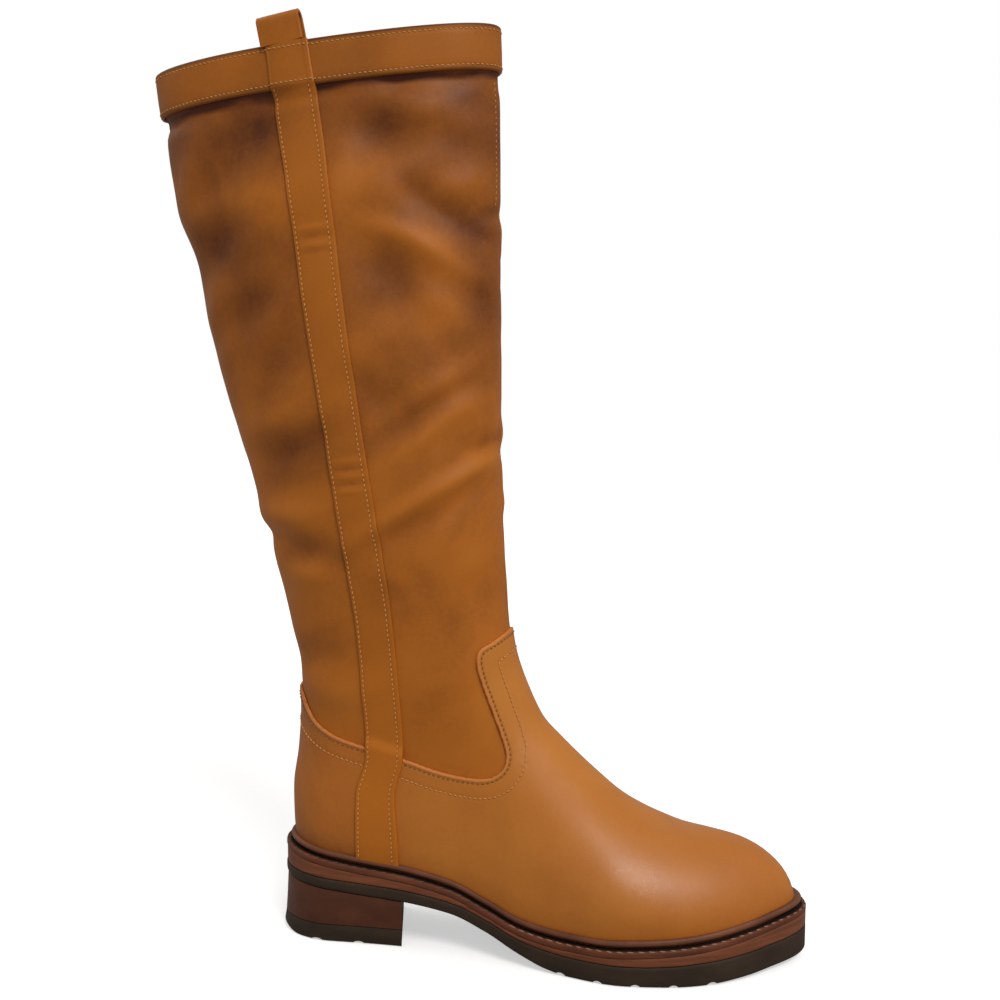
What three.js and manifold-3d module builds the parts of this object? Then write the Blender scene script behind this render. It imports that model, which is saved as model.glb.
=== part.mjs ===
// Knee-high pull-on boot, right foot, standing on its heel and forefoot. Millimetres, +Z up.
// Toe towards -Y, outer (lateral) side towards -X. Origin on the floor under the heel's middle.
import * as THREE from "three";
import { mergeVertices } from "three/addons/utils/BufferGeometryUtils.js";
import Module from "manifold-3d";

const wasm = await Module();
wasm.setup();

// Driving sizes. "Along" runs forward from the back of the foot, "across" runs outwards.
const HEEL_END = -4.5; // sole's rearmost point, along
const TOE_END = 286.5; // sole's foremost point, along
const HEEL_ROUND = 34; // length of the sole's rounded back
const TOE_ROUND = 66; // length of the sole's rounded toe
const HEEL_CENTRE = 34; // along value of the origin
const BREAST = 69; // front face of the heel at its outer corner, along
const BREAST_SKEW = 12; // how much further back the heel's inner front corner stands
const HEEL_REACH = 29; // heel's half width at its front face
const GAP = 0.3; // clearance between two curved pieces
const BASE_GAP = 0.5; // clearance between the upper and the welt it stands on
const WALL = 2; // upper's leather and lining together
const PANEL_THICKNESS = 1.5; // outer skin of the foot
const BAND_THICKNESS = 1.5;
const BAND_HEIGHT = 23.4;
const STRAP_THICKNESS = 1.4;
const STRAP_EDGE_LIFT = 5; // distance over which the strap climbs onto band and panel
const LEDGE = 5.6; // welt that shows outside the rand's inner edge
const RAND_WIDTH = 3;
const RAND_LIFT = 1.5; // groove under the rand
const RAND_HEIGHT = 4.9; // top of the rand above the welt
const TOE_FULLNESS = 2.6; // 2 gives an elliptical toe, more gives a rounder one
const WELT_WIDTH = 13;
const WELT_THICKNESS = 3;
const INSOLE_THICKNESS = 3.5;
const LIFT_THICKNESS = 9.3;
const HEEL_TAPER = 0.8; // heel's inset from the sole's edge at its top
const HEEL_DRAW = 2.4; // how much further in its sides stand at the floor
const HEEL_FLARE = 4.6; // how far its back is pushed out at the floor
const HEEL_STATIONS = 16;
const COLLAR_BACK = 476; // collar height at the back and at the front
const COLLAR_FRONT = 496.7;
const LOOP_WIDTH = 23.4;
const LOOP_RISE = 15; // loop's height above the collar
const LOOP_BACK = 2.6; // how far behind the strap's middle the loop stands
const LOOP_LEAN = 0.09; // turn towards the back, radians
const LOOP_THICKNESS = 1.6;
const LOOP_OPENING = 3; // half the space between the loop's two legs
const LOOP_TUCK = 12; // loop's inner leg below the collar
const RINGS = 31; // rows of points up the upper
const AROUND = 36; // points around the upper
const STATIONS = 34; // cross lines along the sole
const FAR = 90; // half width that clears the boot, for cutting blocks
const LINE_STEPS = 239; // short pieces that the upper's front line is measured with
const ROW_CLOSENESS = 1.12; // above 1 sets the upper's lowest rows closer together
const COURSE_REACH = 0.32; // how far a row runs straight on at its two ends, as a share of its length
const COURSE_BEND = 0.8; // the same at its front end, as a share of the one behind
const FOOT_OVERRUN = 45; // how far the cutting forms run on below the base
const CROWN_OVERRUN = 4; // and above the collar

// A table: column names, then rows. Its first column is the one looked up.
const table = (columns, rows) => ({ columns, rows });

// Half widths of the sole about its centre line, and the line's own sideways shift.
const SOLE = table(
  ["along", "lateral", "medial", "centre"],
  [
    [-5, 31, 30, -3],
    [45, 31, 30, -2.6],
    [97, 32, 29, -1],
    [116, 35, 30.5, -0.3],
    [131, 39.5, 33, 0],
    [158, 47, 40, -0.2],
    [190, 54.5, 45.5, -0.8],
    [212, 53, 45.5, -1.5],
    [236, 47.4, 43.5, -2.6],
    [256, 40, 40.5, -3.5],
    [270, 33.6, 37, -4],
    [290, 28, 33, -4.5],
  ],
);

// Heights of the sole's layers at its edge.
const LAYERS = table(
  ["along", "under", "rubber", "top"],
  [
    [-5, 32.8, 37.8, 50.8],
    [20, 30.8, 36.4, 47.2],
    [45, 28.4, 34.5, 43.4],
    [70, 26.2, 32.4, 40.4],
    [95, 22.4, 28.4, 35.2],
    [116, 15.2, 21.6, 27.2],
    [136, 6.6, 14.2, 20.2],
    [150, 1.9, 11.6, 18],
    [162, 0.1, 10.4, 17.2],
    [170, 0, 10.2, 17.2],
    [200, 0, 10.2, 18.4],
    [225, 0, 11.4, 20.2],
    [250, 1.2, 13.2, 23.4],
    [270, 2.8, 15, 26.2],
    [290, 4.4, 17.2, 28.8],
  ],
);

// The upper's side view and fullness by level: back height, front point, and rounding lengths.
const LEVELS = table(
  ["level", "back", "front", "height", "rounding"],
  [
    [0, 50.4, 322, 65.4, 38],
    [1, 58, 300, 65, 38],
    [2, 67, 281, 64.4, 38],
    [3, 77, 262, 63.6, 39],
    [4, 87, 243, 63.8, 39],
    [5, 96, 224, 66, 40],
    [6, 104, 206, 72, 42],
    [7, 112, 187, 81.5, 46],
    [8, 120, 170, 95.3, 50],
    [9, 129, 153.5, 110.7, 54],
    [10, 139, 140.5, 124.5, 56],
    [11, 150, 132, 141.5, 58],
    [12, 163, 125.8, 158.5, 60],
    [13, 180, 121.9, 180, 61],
    [14, 202, 120, 204, 62],
    [17, 280, 117, 284, 74],
    [20, 370, 116, 375, 88],
    [22, 430, 115, 444, 94],
    [23, 476, 113.2, 496.7, 96],
  ],
);

// Shaft by height: the back line, the rounding behind, and the two half widths.
const SHAFT = table(
  ["height", "back", "rounding", "lateral", "medial"],
  [
    [48, 3.6, 26, 25, 24],
    [62, 2, 27, 28, 27],
    [80, 1.6, 28, 29, 28],
    [105, 4.6, 30, 29.5, 29],
    [125, 5.6, 36, 31, 31],
    [150, 4, 44, 33.5, 33.5],
    [175, -1.5, 52, 35.5, 35],
    [200, -8, 60, 37, 36.5],
    [242, -19.5, 68, 39.5, 38.5],
    [309, -40, 78, 40.5, 39],
    [376, -57.5, 88, 38, 37],
    [420, -70, 93, 34.5, 34],
    [450, -74, 95, 31.5, 31],
    [476, -77.5, 96, 29.5, 29],
    [500, -80, 97, 28, 27.5],
  ],
);

// How much wider the foot is than its base, by height above the base.
const SWELL = table(
  ["rise", "fore", "rear"],
  [
    [0, 0, 0],
    [8, 1.6, 2.2],
    [18, 2.4, 3.8],
    [30, 2, 4.4],
    [50, 0, 3.6],
    [80, -2, 2.6],
    [120, -3, 2],
  ],
);

// Upper edge of the foot panel in side view, from the back over the side to the tongue's point.
const TOPLINE = [
  [-40, 141],
  [0, 140],
  [8, 136],
  [14, 127],
  [22, 120],
  [37, 113.7],
  [69, 105],
  [88, 99.3],
  [103, 96.6],
  [115, 96.6],
  [122.5, 100.5],
  [125, 107],
  [123.5, 114],
  [116, 134],
  [110.5, 149],
  [108, 159],
  [109.5, 165.5],
  [116, 169.5],
  [124, 175],
  [150, 193],
];

// Edges of the side strap in side view, from the collar down.
const STRAP = table(
  ["height", "rear", "fore"],
  [
    [30, 42, 66.5],
    [55, 42.5, 66.5],
    [84, 43, 64.8],
    [106, 48.4, 69],
    [172, 45, 65.5],
    [235, 35.5, 56.8],
    [289, 27, 48],
    [350, 16.5, 38.8],
    [412, 7.2, 30.4],
    [450, -0.8, 24],
    [484, -5.6, 17.6],
    [510, -9.4, 13.8],
  ],
);

const clamp = (x, low, high) => Math.min(Math.max(x, low), high);
const mix = (a, b, t) => a + (b - a) * t;
const ease = (t) => t * t * (3 - 2 * t);
const step = (low, high, x) => ease(clamp((x - low) / (high - low), 0, 1));

// Slopes of a smooth curve through a column that never swings past its rows.
function slopes(xs, ys) {
  const run = xs.slice(1).map((x, i) => (ys[i + 1] - ys[i]) / (x - xs[i]));
  const inner = run.slice(1).map((r, i) => (r * run[i] <= 0 ? 0 : (2 * r * run[i]) / (r + run[i])));
  return [run[0], ...inner, run[run.length - 1]];
}

// A column of a table as a smooth function of the table's first column.
function curve(source, name) {
  const column = source.columns.indexOf(name);
  const xs = source.rows.map((row) => row[0]);
  const ys = source.rows.map((row) => row[column]);
  const ms = slopes(xs, ys);
  return (at) => {
    const x = clamp(at, xs[0], xs[xs.length - 1]);
    const i = clamp(xs.findIndex((value) => value >= x) - 1, 0, xs.length - 2);
    const h = xs[i + 1] - xs[i];
    const t = (x - xs[i]) / h;
    const start = ys[i] * (1 + 2 * t) * (1 - t) ** 2 + ms[i] * h * t * (1 - t) ** 2;
    const end = ys[i + 1] * t * t * (3 - 2 * t) + ms[i + 1] * h * t * t * (t - 1);
    return start + end;
  };
}

const soleCentre = curve(SOLE, "centre");
const soleHalf = { 1: curve(SOLE, "lateral"), [-1]: curve(SOLE, "medial") };
const underside = curve(LAYERS, "under");
const rubberTop = curve(LAYERS, "rubber");
const soleTop = curve(LAYERS, "top");
const levelBack = curve(LEVELS, "back");
const levelFront = curve(LEVELS, "front");
const levelHeight = curve(LEVELS, "height");
const levelRounding = curve(LEVELS, "rounding");
const shaftBack = curve(SHAFT, "back");
const shaftRounding = curve(SHAFT, "rounding");
const shaftHalf = { 1: curve(SHAFT, "lateral"), [-1]: curve(SHAFT, "medial") };
const swellFore = curve(SWELL, "fore");
const swellRear = curve(SWELL, "rear");
const TOP_LEVEL = 23;
const UPPER_INSET = LEDGE + GAP + PANEL_THICKNESS + GAP;

// Half width of a layer of the sole at a place along it, drawn in from the sole's edge.
function layerHalf(along, side, inset) {
  const back = clamp(1 - (along - HEEL_END - inset) / (HEEL_ROUND - inset), 0, 1);
  const toe = clamp(1 - (TOE_END - inset - along) / (TOE_ROUND - inset), 0, 1);
  const full = soleHalf[side](along) - inset;
  return full * Math.sqrt(Math.max(0, 1 - back * back - toe ** TOE_FULLNESS));
}

// The front line of the upper as short pieces, with its rounding length at each.
const frontLine = Array.from({ length: LINE_STEPS + 1 }, (_, i) => {
  const level = (TOP_LEVEL * i) / LINE_STEPS;
  return [levelFront(level), levelHeight(level), levelRounding(level)];
});
const collarDrop = (COLLAR_FRONT - COLLAR_BACK) / (levelFront(TOP_LEVEL) - shaftBack(COLLAR_BACK));
frontLine.push([frontLine[LINE_STEPS][0] - 1, COLLAR_FRONT + 60, frontLine[LINE_STEPS][2]]);

// How far a side-view point lies inside the front line, as a share of its rounding length.
function frontShare(along, height) {
  let best = Infinity;
  let share = 0;
  for (let i = 0; i + 1 < frontLine.length; i++) {
    const [a0, h0, r0] = frontLine[i];
    const [a1, h1, r1] = frontLine[i + 1];
    const span = (a1 - a0) ** 2 + (h1 - h0) ** 2;
    const t = clamp(((along - a0) * (a1 - a0) + (height - h0) * (h1 - h0)) / span, 0, 1);
    const away = Math.hypot(along - mix(a0, a1, t), height - mix(h0, h1, t));
    if (away >= best) continue;
    best = away;
    const turn = (a1 - a0) * (height - h0) - (h1 - h0) * (along - a0);
    share = (turn >= 0 ? away : -away) / mix(r0, r1, t);
  }
  return share;
}

// What is left of the squared fullness at a side-view point: 1 in the middle, 0 on the outline.
function fullness(along, height) {
  const front = clamp(1 - frontShare(along, height), 0, 4);
  const toe = clamp(1 - (TOE_END - UPPER_INSET - along) / (TOE_ROUND - UPPER_INSET), 0, 4);
  const rounding = shaftRounding(height);
  const back = clamp(1 - (along - shaftBack(height)) / rounding, 0, 4);
  return 1 - front * front - toe ** TOE_FULLNESS - back * back;
}

// Half width of the upper at a side-view point.
function upperHalf(along, height, side) {
  const rise = Math.max(0, height - soleTop(along));
  const fore = step(60, 150, along);
  const swell = mix(swellRear(rise), swellFore(rise), fore);
  const foot = soleHalf[side](along) - UPPER_INSET + swell;
  const shaft = shaftHalf[side](height);
  const full = mix(foot, shaft, step(85, 150, height) * (1 - step(120, 170, along)));
  return full * Math.sqrt(Math.max(0, fullness(along, height)));
}

// The course of one row of points in side view, from the back line to the front line.
function course(level) {
  const back = levelBack(level);
  const start = [shaftBack(back), back];
  const end = [levelFront(level), levelHeight(level)];
  const before = [levelFront(level - 0.1), levelHeight(level - 0.1)];
  const after = [levelFront(level + 0.1), levelHeight(level + 0.1)];
  const length = Math.hypot(end[0] - start[0], end[1] - start[1]);
  const along = [after[0] - before[0], after[1] - before[1]];
  const unit = Math.hypot(along[0], along[1]);
  const out = [along[1] / unit, -along[0] / unit];
  const reach = length * COURSE_REACH;
  const bend = reach * COURSE_BEND;
  const hold = [start[0] + reach, start[1]];
  const arrive = [end[0] - out[0] * bend, end[1] - out[1] * bend];
  const low = 1 - step(0, 4.5, level);
  return (t) => {
    const [b0, b1, b2, b3] = [(1 - t) ** 3, 3 * t * (1 - t) ** 2, 3 * t * t * (1 - t), t ** 3];
    const along = start[0] * b0 + hold[0] * b1 + arrive[0] * b2 + end[0] * b3;
    const high = start[1] * b0 + hold[1] * b1 + arrive[1] * b2 + end[1] * b3;
    const flat = mix(start[0], TOE_END - UPPER_INSET, t);
    const follow = soleTop(flat) + BASE_GAP + (back - LEVELS.rows[0][1]) * 0.9;
    return [mix(along, flat, low), mix(high, follow, low)];
  };
}

// The share of a course at which the upper's outline is reached.
function courseEnd(path) {
  let [inside, outside] = [0.5, 1.02];
  if (fullness(...path(1)) > 0) return 1;
  for (let i = 0; i < 30; i++) {
    const middle = (inside + outside) / 2;
    if (fullness(...path(middle)) > 0) inside = middle;
    else outside = middle;
  }
  return inside;
}

const place = (along, across, height) => new THREE.Vector3(-across, HEEL_CENTRE - along, height);

// Rows of points on the upper's outer face, from its base to its collar.
function upperRows() {
  const rows = [];
  for (let k = 0; k <= RINGS; k++) {
    const level = TOP_LEVEL * (k / RINGS) ** ROW_CLOSENESS;
    const path = course(level);
    const end = courseEnd(path);
    const row = [];
    for (let j = 0; j < AROUND; j++) {
      const turn = (2 * Math.PI * j) / AROUND;
      const side = j <= AROUND / 2 ? 1 : -1;
      const [along, height] = path((end * (1 - Math.cos(turn))) / 2);
      const edge = j === 0 || j === AROUND / 2;
      const half = edge ? 0 : upperHalf(along, height, side);
      row.push(place(along, soleCentre(along) + side * half, height));
    }
    rows.push(row);
  }
  return rows;
}

// Outward directions at every point of a set of rows.
function outward(rows) {
  return rows.map((row, k) =>
    row.map((point, j) => {
      const ahead = row[(j + 1) % AROUND];
      const behind = row[(j + AROUND - 1) % AROUND];
      const above = rows[Math.min(k + 1, rows.length - 1)][j];
      const below = rows[Math.max(k - 1, 0)][j];
      const round = ahead.clone().sub(behind);
      const rising = above.clone().sub(below);
      return round.cross(rising).normalize();
    }),
  );
}

const skinRows = upperRows();
const skinOut = outward(skinRows);

// The rows moved outwards by a distance that may change from place to place.
function movedRows(distance) {
  return skinRows.map((row, k) =>
    row.map((point, j) => {
      const by = typeof distance === "number" ? distance : distance(point);
      return point.clone().addScaledVector(skinOut[k][j], by);
    }),
  );
}

// A mesh geometry from points and triples of point numbers.
function geometryOf(points, faces) {
  const geometry = new THREE.BufferGeometry();
  const numbers = points.flatMap((p) => [p.x, p.y, p.z]);
  geometry.setAttribute("position", new THREE.Float32BufferAttribute(numbers, 3));
  geometry.setIndex(faces.flat());
  return geometry;
}

function toSolid(geometry) {
  const bare = geometry.clone();
  bare.deleteAttribute("normal");
  bare.deleteAttribute("uv");
  const merged = mergeVertices(bare, 1e-3);
  const triVerts = new Uint32Array(merged.index.array);
  const vertProperties = merged.attributes.position.array;
  const solid = new wasm.Manifold(new wasm.Mesh({ numProp: 3, vertProperties, triVerts }));
  if (solid.volume() > 0) return solid;
  for (let i = 0; i < triVerts.length; i += 3) {
    [triVerts[i + 1], triVerts[i + 2]] = [triVerts[i + 2], triVerts[i + 1]];
  }
  return new wasm.Manifold(new wasm.Mesh({ numProp: 3, vertProperties, triVerts }));
}

function toGeometry(solid) {
  const { vertProperties, triVerts, numProp } = solid.getMesh();
  const points = [];
  for (let i = 0; i < vertProperties.length; i += numProp) {
    points.push(new THREE.Vector3(...vertProperties.slice(i, i + 3)));
  }
  return geometryOf(points, [Array.from(triVerts)]);
}

// Faces between two neighbouring rings of points, given the number of each ring's first point.
function ringFaces(first, second, count) {
  const faces = [];
  for (let j = 0; j < count; j++) {
    const next = (j + 1) % count;
    faces.push([first + j, second + j, first + next], [first + next, second + j, second + next]);
  }
  return faces;
}

// A closed body from rings of points joined one to the next, and the last to the first.
function hoop(rings) {
  const count = rings[0].length;
  const faces = rings.flatMap((_, k) => ringFaces(k * count, ((k + 1) % rings.length) * count, count));
  return toSolid(geometryOf(rings.flat(), faces));
}

// A closed form from rings of points, closed at both ends by a fan.
function drum(rings) {
  const count = rings[0].length;
  const points = rings.flat();
  const faces = [];
  for (let k = 0; k + 1 < rings.length; k++) faces.push(...ringFaces(k * count, (k + 1) * count, count));
  for (const [start, flip] of [[0, false], [(rings.length - 1) * count, true]]) {
    const middle = new THREE.Vector3();
    for (let j = 0; j < count; j++) middle.addScaledVector(points[start + j], 1 / count);
    points.push(middle);
    for (let j = 0; j < count; j++) {
      const [a, b] = [start + j, start + ((j + 1) % count)];
      faces.push(flip ? [b, a, points.length - 1] : [a, b, points.length - 1]);
    }
  }
  return toSolid(geometryOf(points, faces));
}

// The upper's form grown by a distance and run a little past both its ends.
function grownForm(distance) {
  const rows = movedRows(distance);
  const foot = rows[0].map((p) => p.clone().setZ(p.z - FOOT_OVERRUN));
  const crown = rows[rows.length - 1].map((p) => p.clone().setZ(p.z + CROWN_OVERRUN));
  return drum([foot, ...rows, crown]);
}

// A block with a side-view outline, reaching across from one value to another.
function sideBlock(outline, from, to) {
  const corners = outline.map(([along, height]) => new THREE.Vector2(HEEL_CENTRE - along, height));
  const shape = new THREE.Shape(corners);
  const block = new THREE.ExtrudeGeometry(shape, { depth: to - from, bevelEnabled: false });
  block.applyMatrix4(new THREE.Matrix4().set(0, 0, -1, -from, 1, 0, 0, 0, 0, 1, 0, 0, 0, 0, 0, 1));
  return toSolid(block);
}

// A layer of the sole: a closed body between two heights that change along it.
function layer(inset, low, high, from = -Infinity, to = Infinity) {
  const start = Math.max(from, HEEL_END + inset);
  const end = Math.min(to, TOE_END - inset);
  const points = [];
  const faces = [];
  for (let i = 0; i <= STATIONS; i++) {
    const along = mix(start, end, (1 - Math.cos((Math.PI * i) / STATIONS)) / 2);
    const corners = [[1, high], [-1, high], [-1, low], [1, low]];
    for (const [side, height] of corners) {
      const half = layerHalf(along, side, inset);
      points.push(place(along, soleCentre(along) + side * half, height(along)));
    }
  }
  for (let i = 0; i < STATIONS; i++) faces.push(...ringFaces(4 * i, 4 * i + 4, 4));
  const last = 4 * STATIONS;
  faces.push([0, 1, 2], [0, 2, 3], [last, last + 2, last + 1], [last, last + 3, last + 2]);
  const flat = faces.filter(([a, b, c]) => {
    const area = new THREE.Triangle(points[a], points[b], points[c]).getArea();
    return area > 1e-9;
  });
  return toSolid(geometryOf(points, flat));
}

const topGap = (along) => soleTop(along) + BASE_GAP;
const weltUnder = (along) => soleTop(along) - WELT_THICKNESS;
const lower = (height, by) => (along) => height(along) - by;

function makeUpper() {
  const inside = movedRows(-WALL);
  return hoop([...skinRows, ...inside.reverse()]);
}

function makeInsole() {
  const inset = UPPER_INSET + WALL + 3 * GAP;
  return layer(inset, topGap, (along) => topGap(along) + INSOLE_THICKNESS);
}

function makeWelt() {
  const plate = layer(0, weltUnder, soleTop);
  const hole = layer(WELT_WIDTH, lower(soleTop, 20), lower(soleTop, -20));
  return plate.subtract(hole);
}

function makeMidsole() {
  const plate = layer(0.4, (along) => rubberTop(along) + GAP, lower(weltUnder, GAP));
  const raised = layer(WELT_WIDTH + GAP, lower(weltUnder, 1.5), soleTop);
  return plate.add(raised);
}

// Block that spans the whole width of the sole between two places along it.
function crossBlock(from, to, low, high, inner, outer) {
  const box = new THREE.BoxGeometry(outer - inner, to - from, high - low);
  const middle = place((from + to) / 2, (inner + outer) / 2, (low + high) / 2);
  box.translate(middle.x, middle.y, middle.z);
  return toSolid(box);
}

const LUG_PITCH = 19.5;
const LUG_GROOVE = 4;
const LUG_DEPTH = 1.9;
const LUG_LENGTH = 22;
const FIRST_LUG = 158;
const LAST_LUG = 45; // no grooves nearer the toe than this

function makeOutsole() {
  let sole = layer(0, underside, rubberTop);
  for (let at = FIRST_LUG; at < TOE_END - LAST_LUG; at += LUG_PITCH) {
    const depth = underside(at) + LUG_DEPTH;
    for (const side of [1, -1]) {
      const edge = soleCentre(at) + side * layerHalf(at, side, 0);
      const [inner, outer] = side > 0 ? [edge - LUG_LENGTH, FAR] : [-FAR, edge + LUG_LENGTH];
      const groove = crossBlock(at - LUG_GROOVE / 2, at + LUG_GROOVE / 2, -5, depth, inner, outer);
      sole = sole.subtract(groove);
    }
  }
  return sole;
}

const heelUnder = (along) => underside(along) - GAP;

// Everything ahead of the heel's front face, which runs a little aslant across the sole.
function aheadOfBreast() {
  const slope = BREAST_SKEW / (2 * HEEL_REACH);
  const edge = (across) => place(BREAST - slope * (HEEL_REACH - across), across, 0);
  const corners = [edge(FAR), edge(-FAR), place(200, -FAR, 0), place(200, FAR, 0)];
  const shape = new THREE.Shape(corners.map((p) => new THREE.Vector2(p.x, p.y)));
  const block = new THREE.ExtrudeGeometry(shape, { depth: 80, bevelEnabled: false });
  return toSolid(block.translate(0, 0, -10));
}

const LIFT_FLARE = HEEL_FLARE * 0.8; // flare left at the lift's top
const BLOCK_FLARE = HEEL_FLARE * 0.4; // and a little above it
const BLOCK_BEND = 9; // height over which the heel's back straightens
const HEEL_OVERRUN = 14; // how far the heel's rings run on ahead of its front face

// One level of the heel: its outline at a height, drawn in at the sides and pushed out at the back.
function heelRing(height, inset, flare) {
  const ring = [];
  const end = BREAST + HEEL_OVERRUN;
  for (const side of [1, -1]) {
    for (let i = 0; i <= HEEL_STATIONS; i++) {
      const turn = ((side > 0 ? i : HEEL_STATIONS - i) * Math.PI) / 2 / HEEL_STATIONS;
      if (side < 0 && i === HEEL_STATIONS) continue;
      const along = mix(HEEL_END, end, 1 - Math.cos(turn));
      const half = turn === 0 ? 0 : layerHalf(along, side, 0) - inset * Math.sin(turn);
      const back = along + inset * Math.cos(turn) - flare * Math.cos(turn);
      ring.push(place(back, soleCentre(along) + side * half, height));
    }
  }
  return ring;
}

function makeHeelBlock() {
  const rings = [
    heelRing(LIFT_THICKNESS + GAP, HEEL_TAPER + HEEL_DRAW, LIFT_FLARE),
    heelRing(LIFT_THICKNESS + BLOCK_BEND, HEEL_TAPER + HEEL_DRAW / 2, BLOCK_FLARE),
    heelRing(underside(0) + 8, HEEL_TAPER, 0),
  ];
  const under = layer(-5, () => 0, heelUnder, -Infinity, BREAST + 8);
  return drum(rings).intersect(under).subtract(aheadOfBreast());
}

const NOTCH_WIDTH = 6;
const NOTCH_DEPTH = 1.6;
const NOTCHES = [20, 44];
const NOTCH_INNER = { lateral: 13, medial: 19 }; // how far from the middle a notch starts
const BACK_BEVEL = 3.2; // how far the floor edge is rounded up at the very back
const BEVEL_RUN = 15; // length of that rounding

function makeHeelLift() {
  const inset = HEEL_TAPER + HEEL_DRAW;
  const body = drum([heelRing(0, inset, HEEL_FLARE), heelRing(LIFT_THICKNESS, inset, LIFT_FLARE)]);
  const behind = (along) => Math.max(0, 1 - (along - HEEL_END + 3) / BEVEL_RUN);
  const rear = (along) => BACK_BEVEL * behind(along) ** 1.5;
  const reach = layer(-5, rear, () => LIFT_THICKNESS + 5, -Infinity, BREAST + 8);
  let lift = body.intersect(reach).subtract(aheadOfBreast());
  const reaches = [[NOTCH_INNER.lateral, FAR], [-FAR, -NOTCH_INNER.medial]];
  for (const at of NOTCHES) {
    const [from, to] = [at - NOTCH_WIDTH / 2, at + NOTCH_WIDTH / 2];
    for (const [inner, outer] of reaches) {
      lift = lift.subtract(crossBlock(from, to, -5, NOTCH_DEPTH, inner, outer));
    }
  }
  return lift;
}

function makeRand() {
  const outer = LEDGE - RAND_WIDTH;
  const rim = (inset, rise) => {
    const ring = [];
    for (let j = 0; j < 2 * STATIONS; j++) {
      const share = (1 - Math.cos((Math.PI * j) / STATIONS)) / 2;
      const along = mix(HEEL_END + inset, TOE_END - inset, share);
      const side = j <= STATIONS ? 1 : -1;
      const tip = j === 0 || j === STATIONS;
      const half = tip ? 0 : layerHalf(along, side, inset);
      ring.push(place(along, soleCentre(along) + side * half, soleTop(along) + rise));
    }
    return ring;
  };
  const round = RAND_WIDTH * 0.3; // rounded edges of the bead
  const rings = [
    rim(outer, RAND_LIFT + round),
    rim(outer, RAND_HEIGHT - round),
    rim(outer + round, RAND_HEIGHT),
    rim(LEDGE, RAND_HEIGHT),
    rim(LEDGE, RAND_LIFT),
    rim(outer + round, RAND_LIFT),
  ];
  return hoop(rings).subtract(grownForm(GAP + PANEL_THICKNESS + GAP));
}

const smooth = (points, count) =>
  new THREE.SplineCurve(points.map(([along, height]) => new THREE.Vector2(along, height)))
    .getPoints(count)
    .map((p) => [p.x, p.y]);

const AHEAD = 340; // clears the toe
const BEHIND = -140; // clears the calf

const toplineBlock = (grow) => [
  ...smooth(TOPLINE, 40).map(([along, height]) => [along, height + grow]),
  [AHEAD, TOPLINE[TOPLINE.length - 1][1] + 20],
  [AHEAD, -20],
  [TOPLINE[0][0], -20],
];

function makeFootPanel() {
  const shell = grownForm(GAP + PANEL_THICKNESS).subtract(grownForm(GAP));
  const base = layer(-30, () => -30, topGap);
  return shell.intersect(sideBlock(toplineBlock(0), -FAR, FAR)).subtract(base);
}

// The collar's side-view line, and a block between two heights measured from it.
const collarHeight = (along) => COLLAR_BACK + collarDrop * (along - shaftBack(COLLAR_BACK));
const collarBlock = (low, high) =>
  sideBlock(
    [
      [BEHIND, collarHeight(BEHIND) + high],
      [AHEAD, collarHeight(AHEAD) + high],
      [AHEAD, collarHeight(AHEAD) + low],
      [BEHIND, collarHeight(BEHIND) + low],
    ],
    -FAR,
    FAR,
  );

function makeCollarBand() {
  const shell = grownForm(GAP + BAND_THICKNESS).subtract(grownForm(GAP));
  return shell.intersect(collarBlock(-BAND_HEIGHT, 0));
}

const PANEL_CREST = 118; // above the panel's edge wherever the strap crosses it
const STRAP_STEPS = 16;

// How far the strap must stand off the skin at a point: over band and panel it climbs.
function strapStandOff(point) {
  const along = HEEL_CENTRE - point.y;
  const bandEdge = collarHeight(along) - BAND_HEIGHT;
  const onBand = step(bandEdge - 2 * STRAP_EDGE_LIFT, bandEdge - STRAP_EDGE_LIFT / 2, point.z);
  const onPanel = 1 - step(PANEL_CREST, PANEL_CREST + 12, point.z);
  return GAP + STRAP_THICKNESS + (PANEL_THICKNESS + GAP) * Math.max(onBand, onPanel);
}

function makeSideStrap() {
  const rear = curve(STRAP, "rear");
  const fore = curve(STRAP, "fore");
  const start = STRAP.rows[0][0];
  const reach = STRAP.rows[STRAP.rows.length - 1][0] - start;
  const heights = Array.from({ length: STRAP_STEPS + 1 }, (_, i) => start + (reach * i) / STRAP_STEPS);
  const outline = [
    ...heights.map((h) => [rear(h), h]),
    ...heights.reverse().map((h) => [fore(h), h]),
  ];
  const body = grownForm(strapStandOff).intersect(sideBlock(outline, 0, FAR));
  const covered = grownForm(GAP * 2 + PANEL_THICKNESS);
  return body
    .subtract(grownForm(GAP))
    .subtract(covered.intersect(collarBlock(-BAND_HEIGHT - GAP, 30)))
    .subtract(covered.intersect(sideBlock(toplineBlock(GAP), -FAR, FAR)))
    .subtract(collarBlock(0, 100))
    .subtract(layer(-30, () => -30, (along) => soleTop(along) + RAND_HEIGHT + GAP));
}

const LOOP_SEAT = 1.4; // lifts the loop's outer leg clear of the collar

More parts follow.
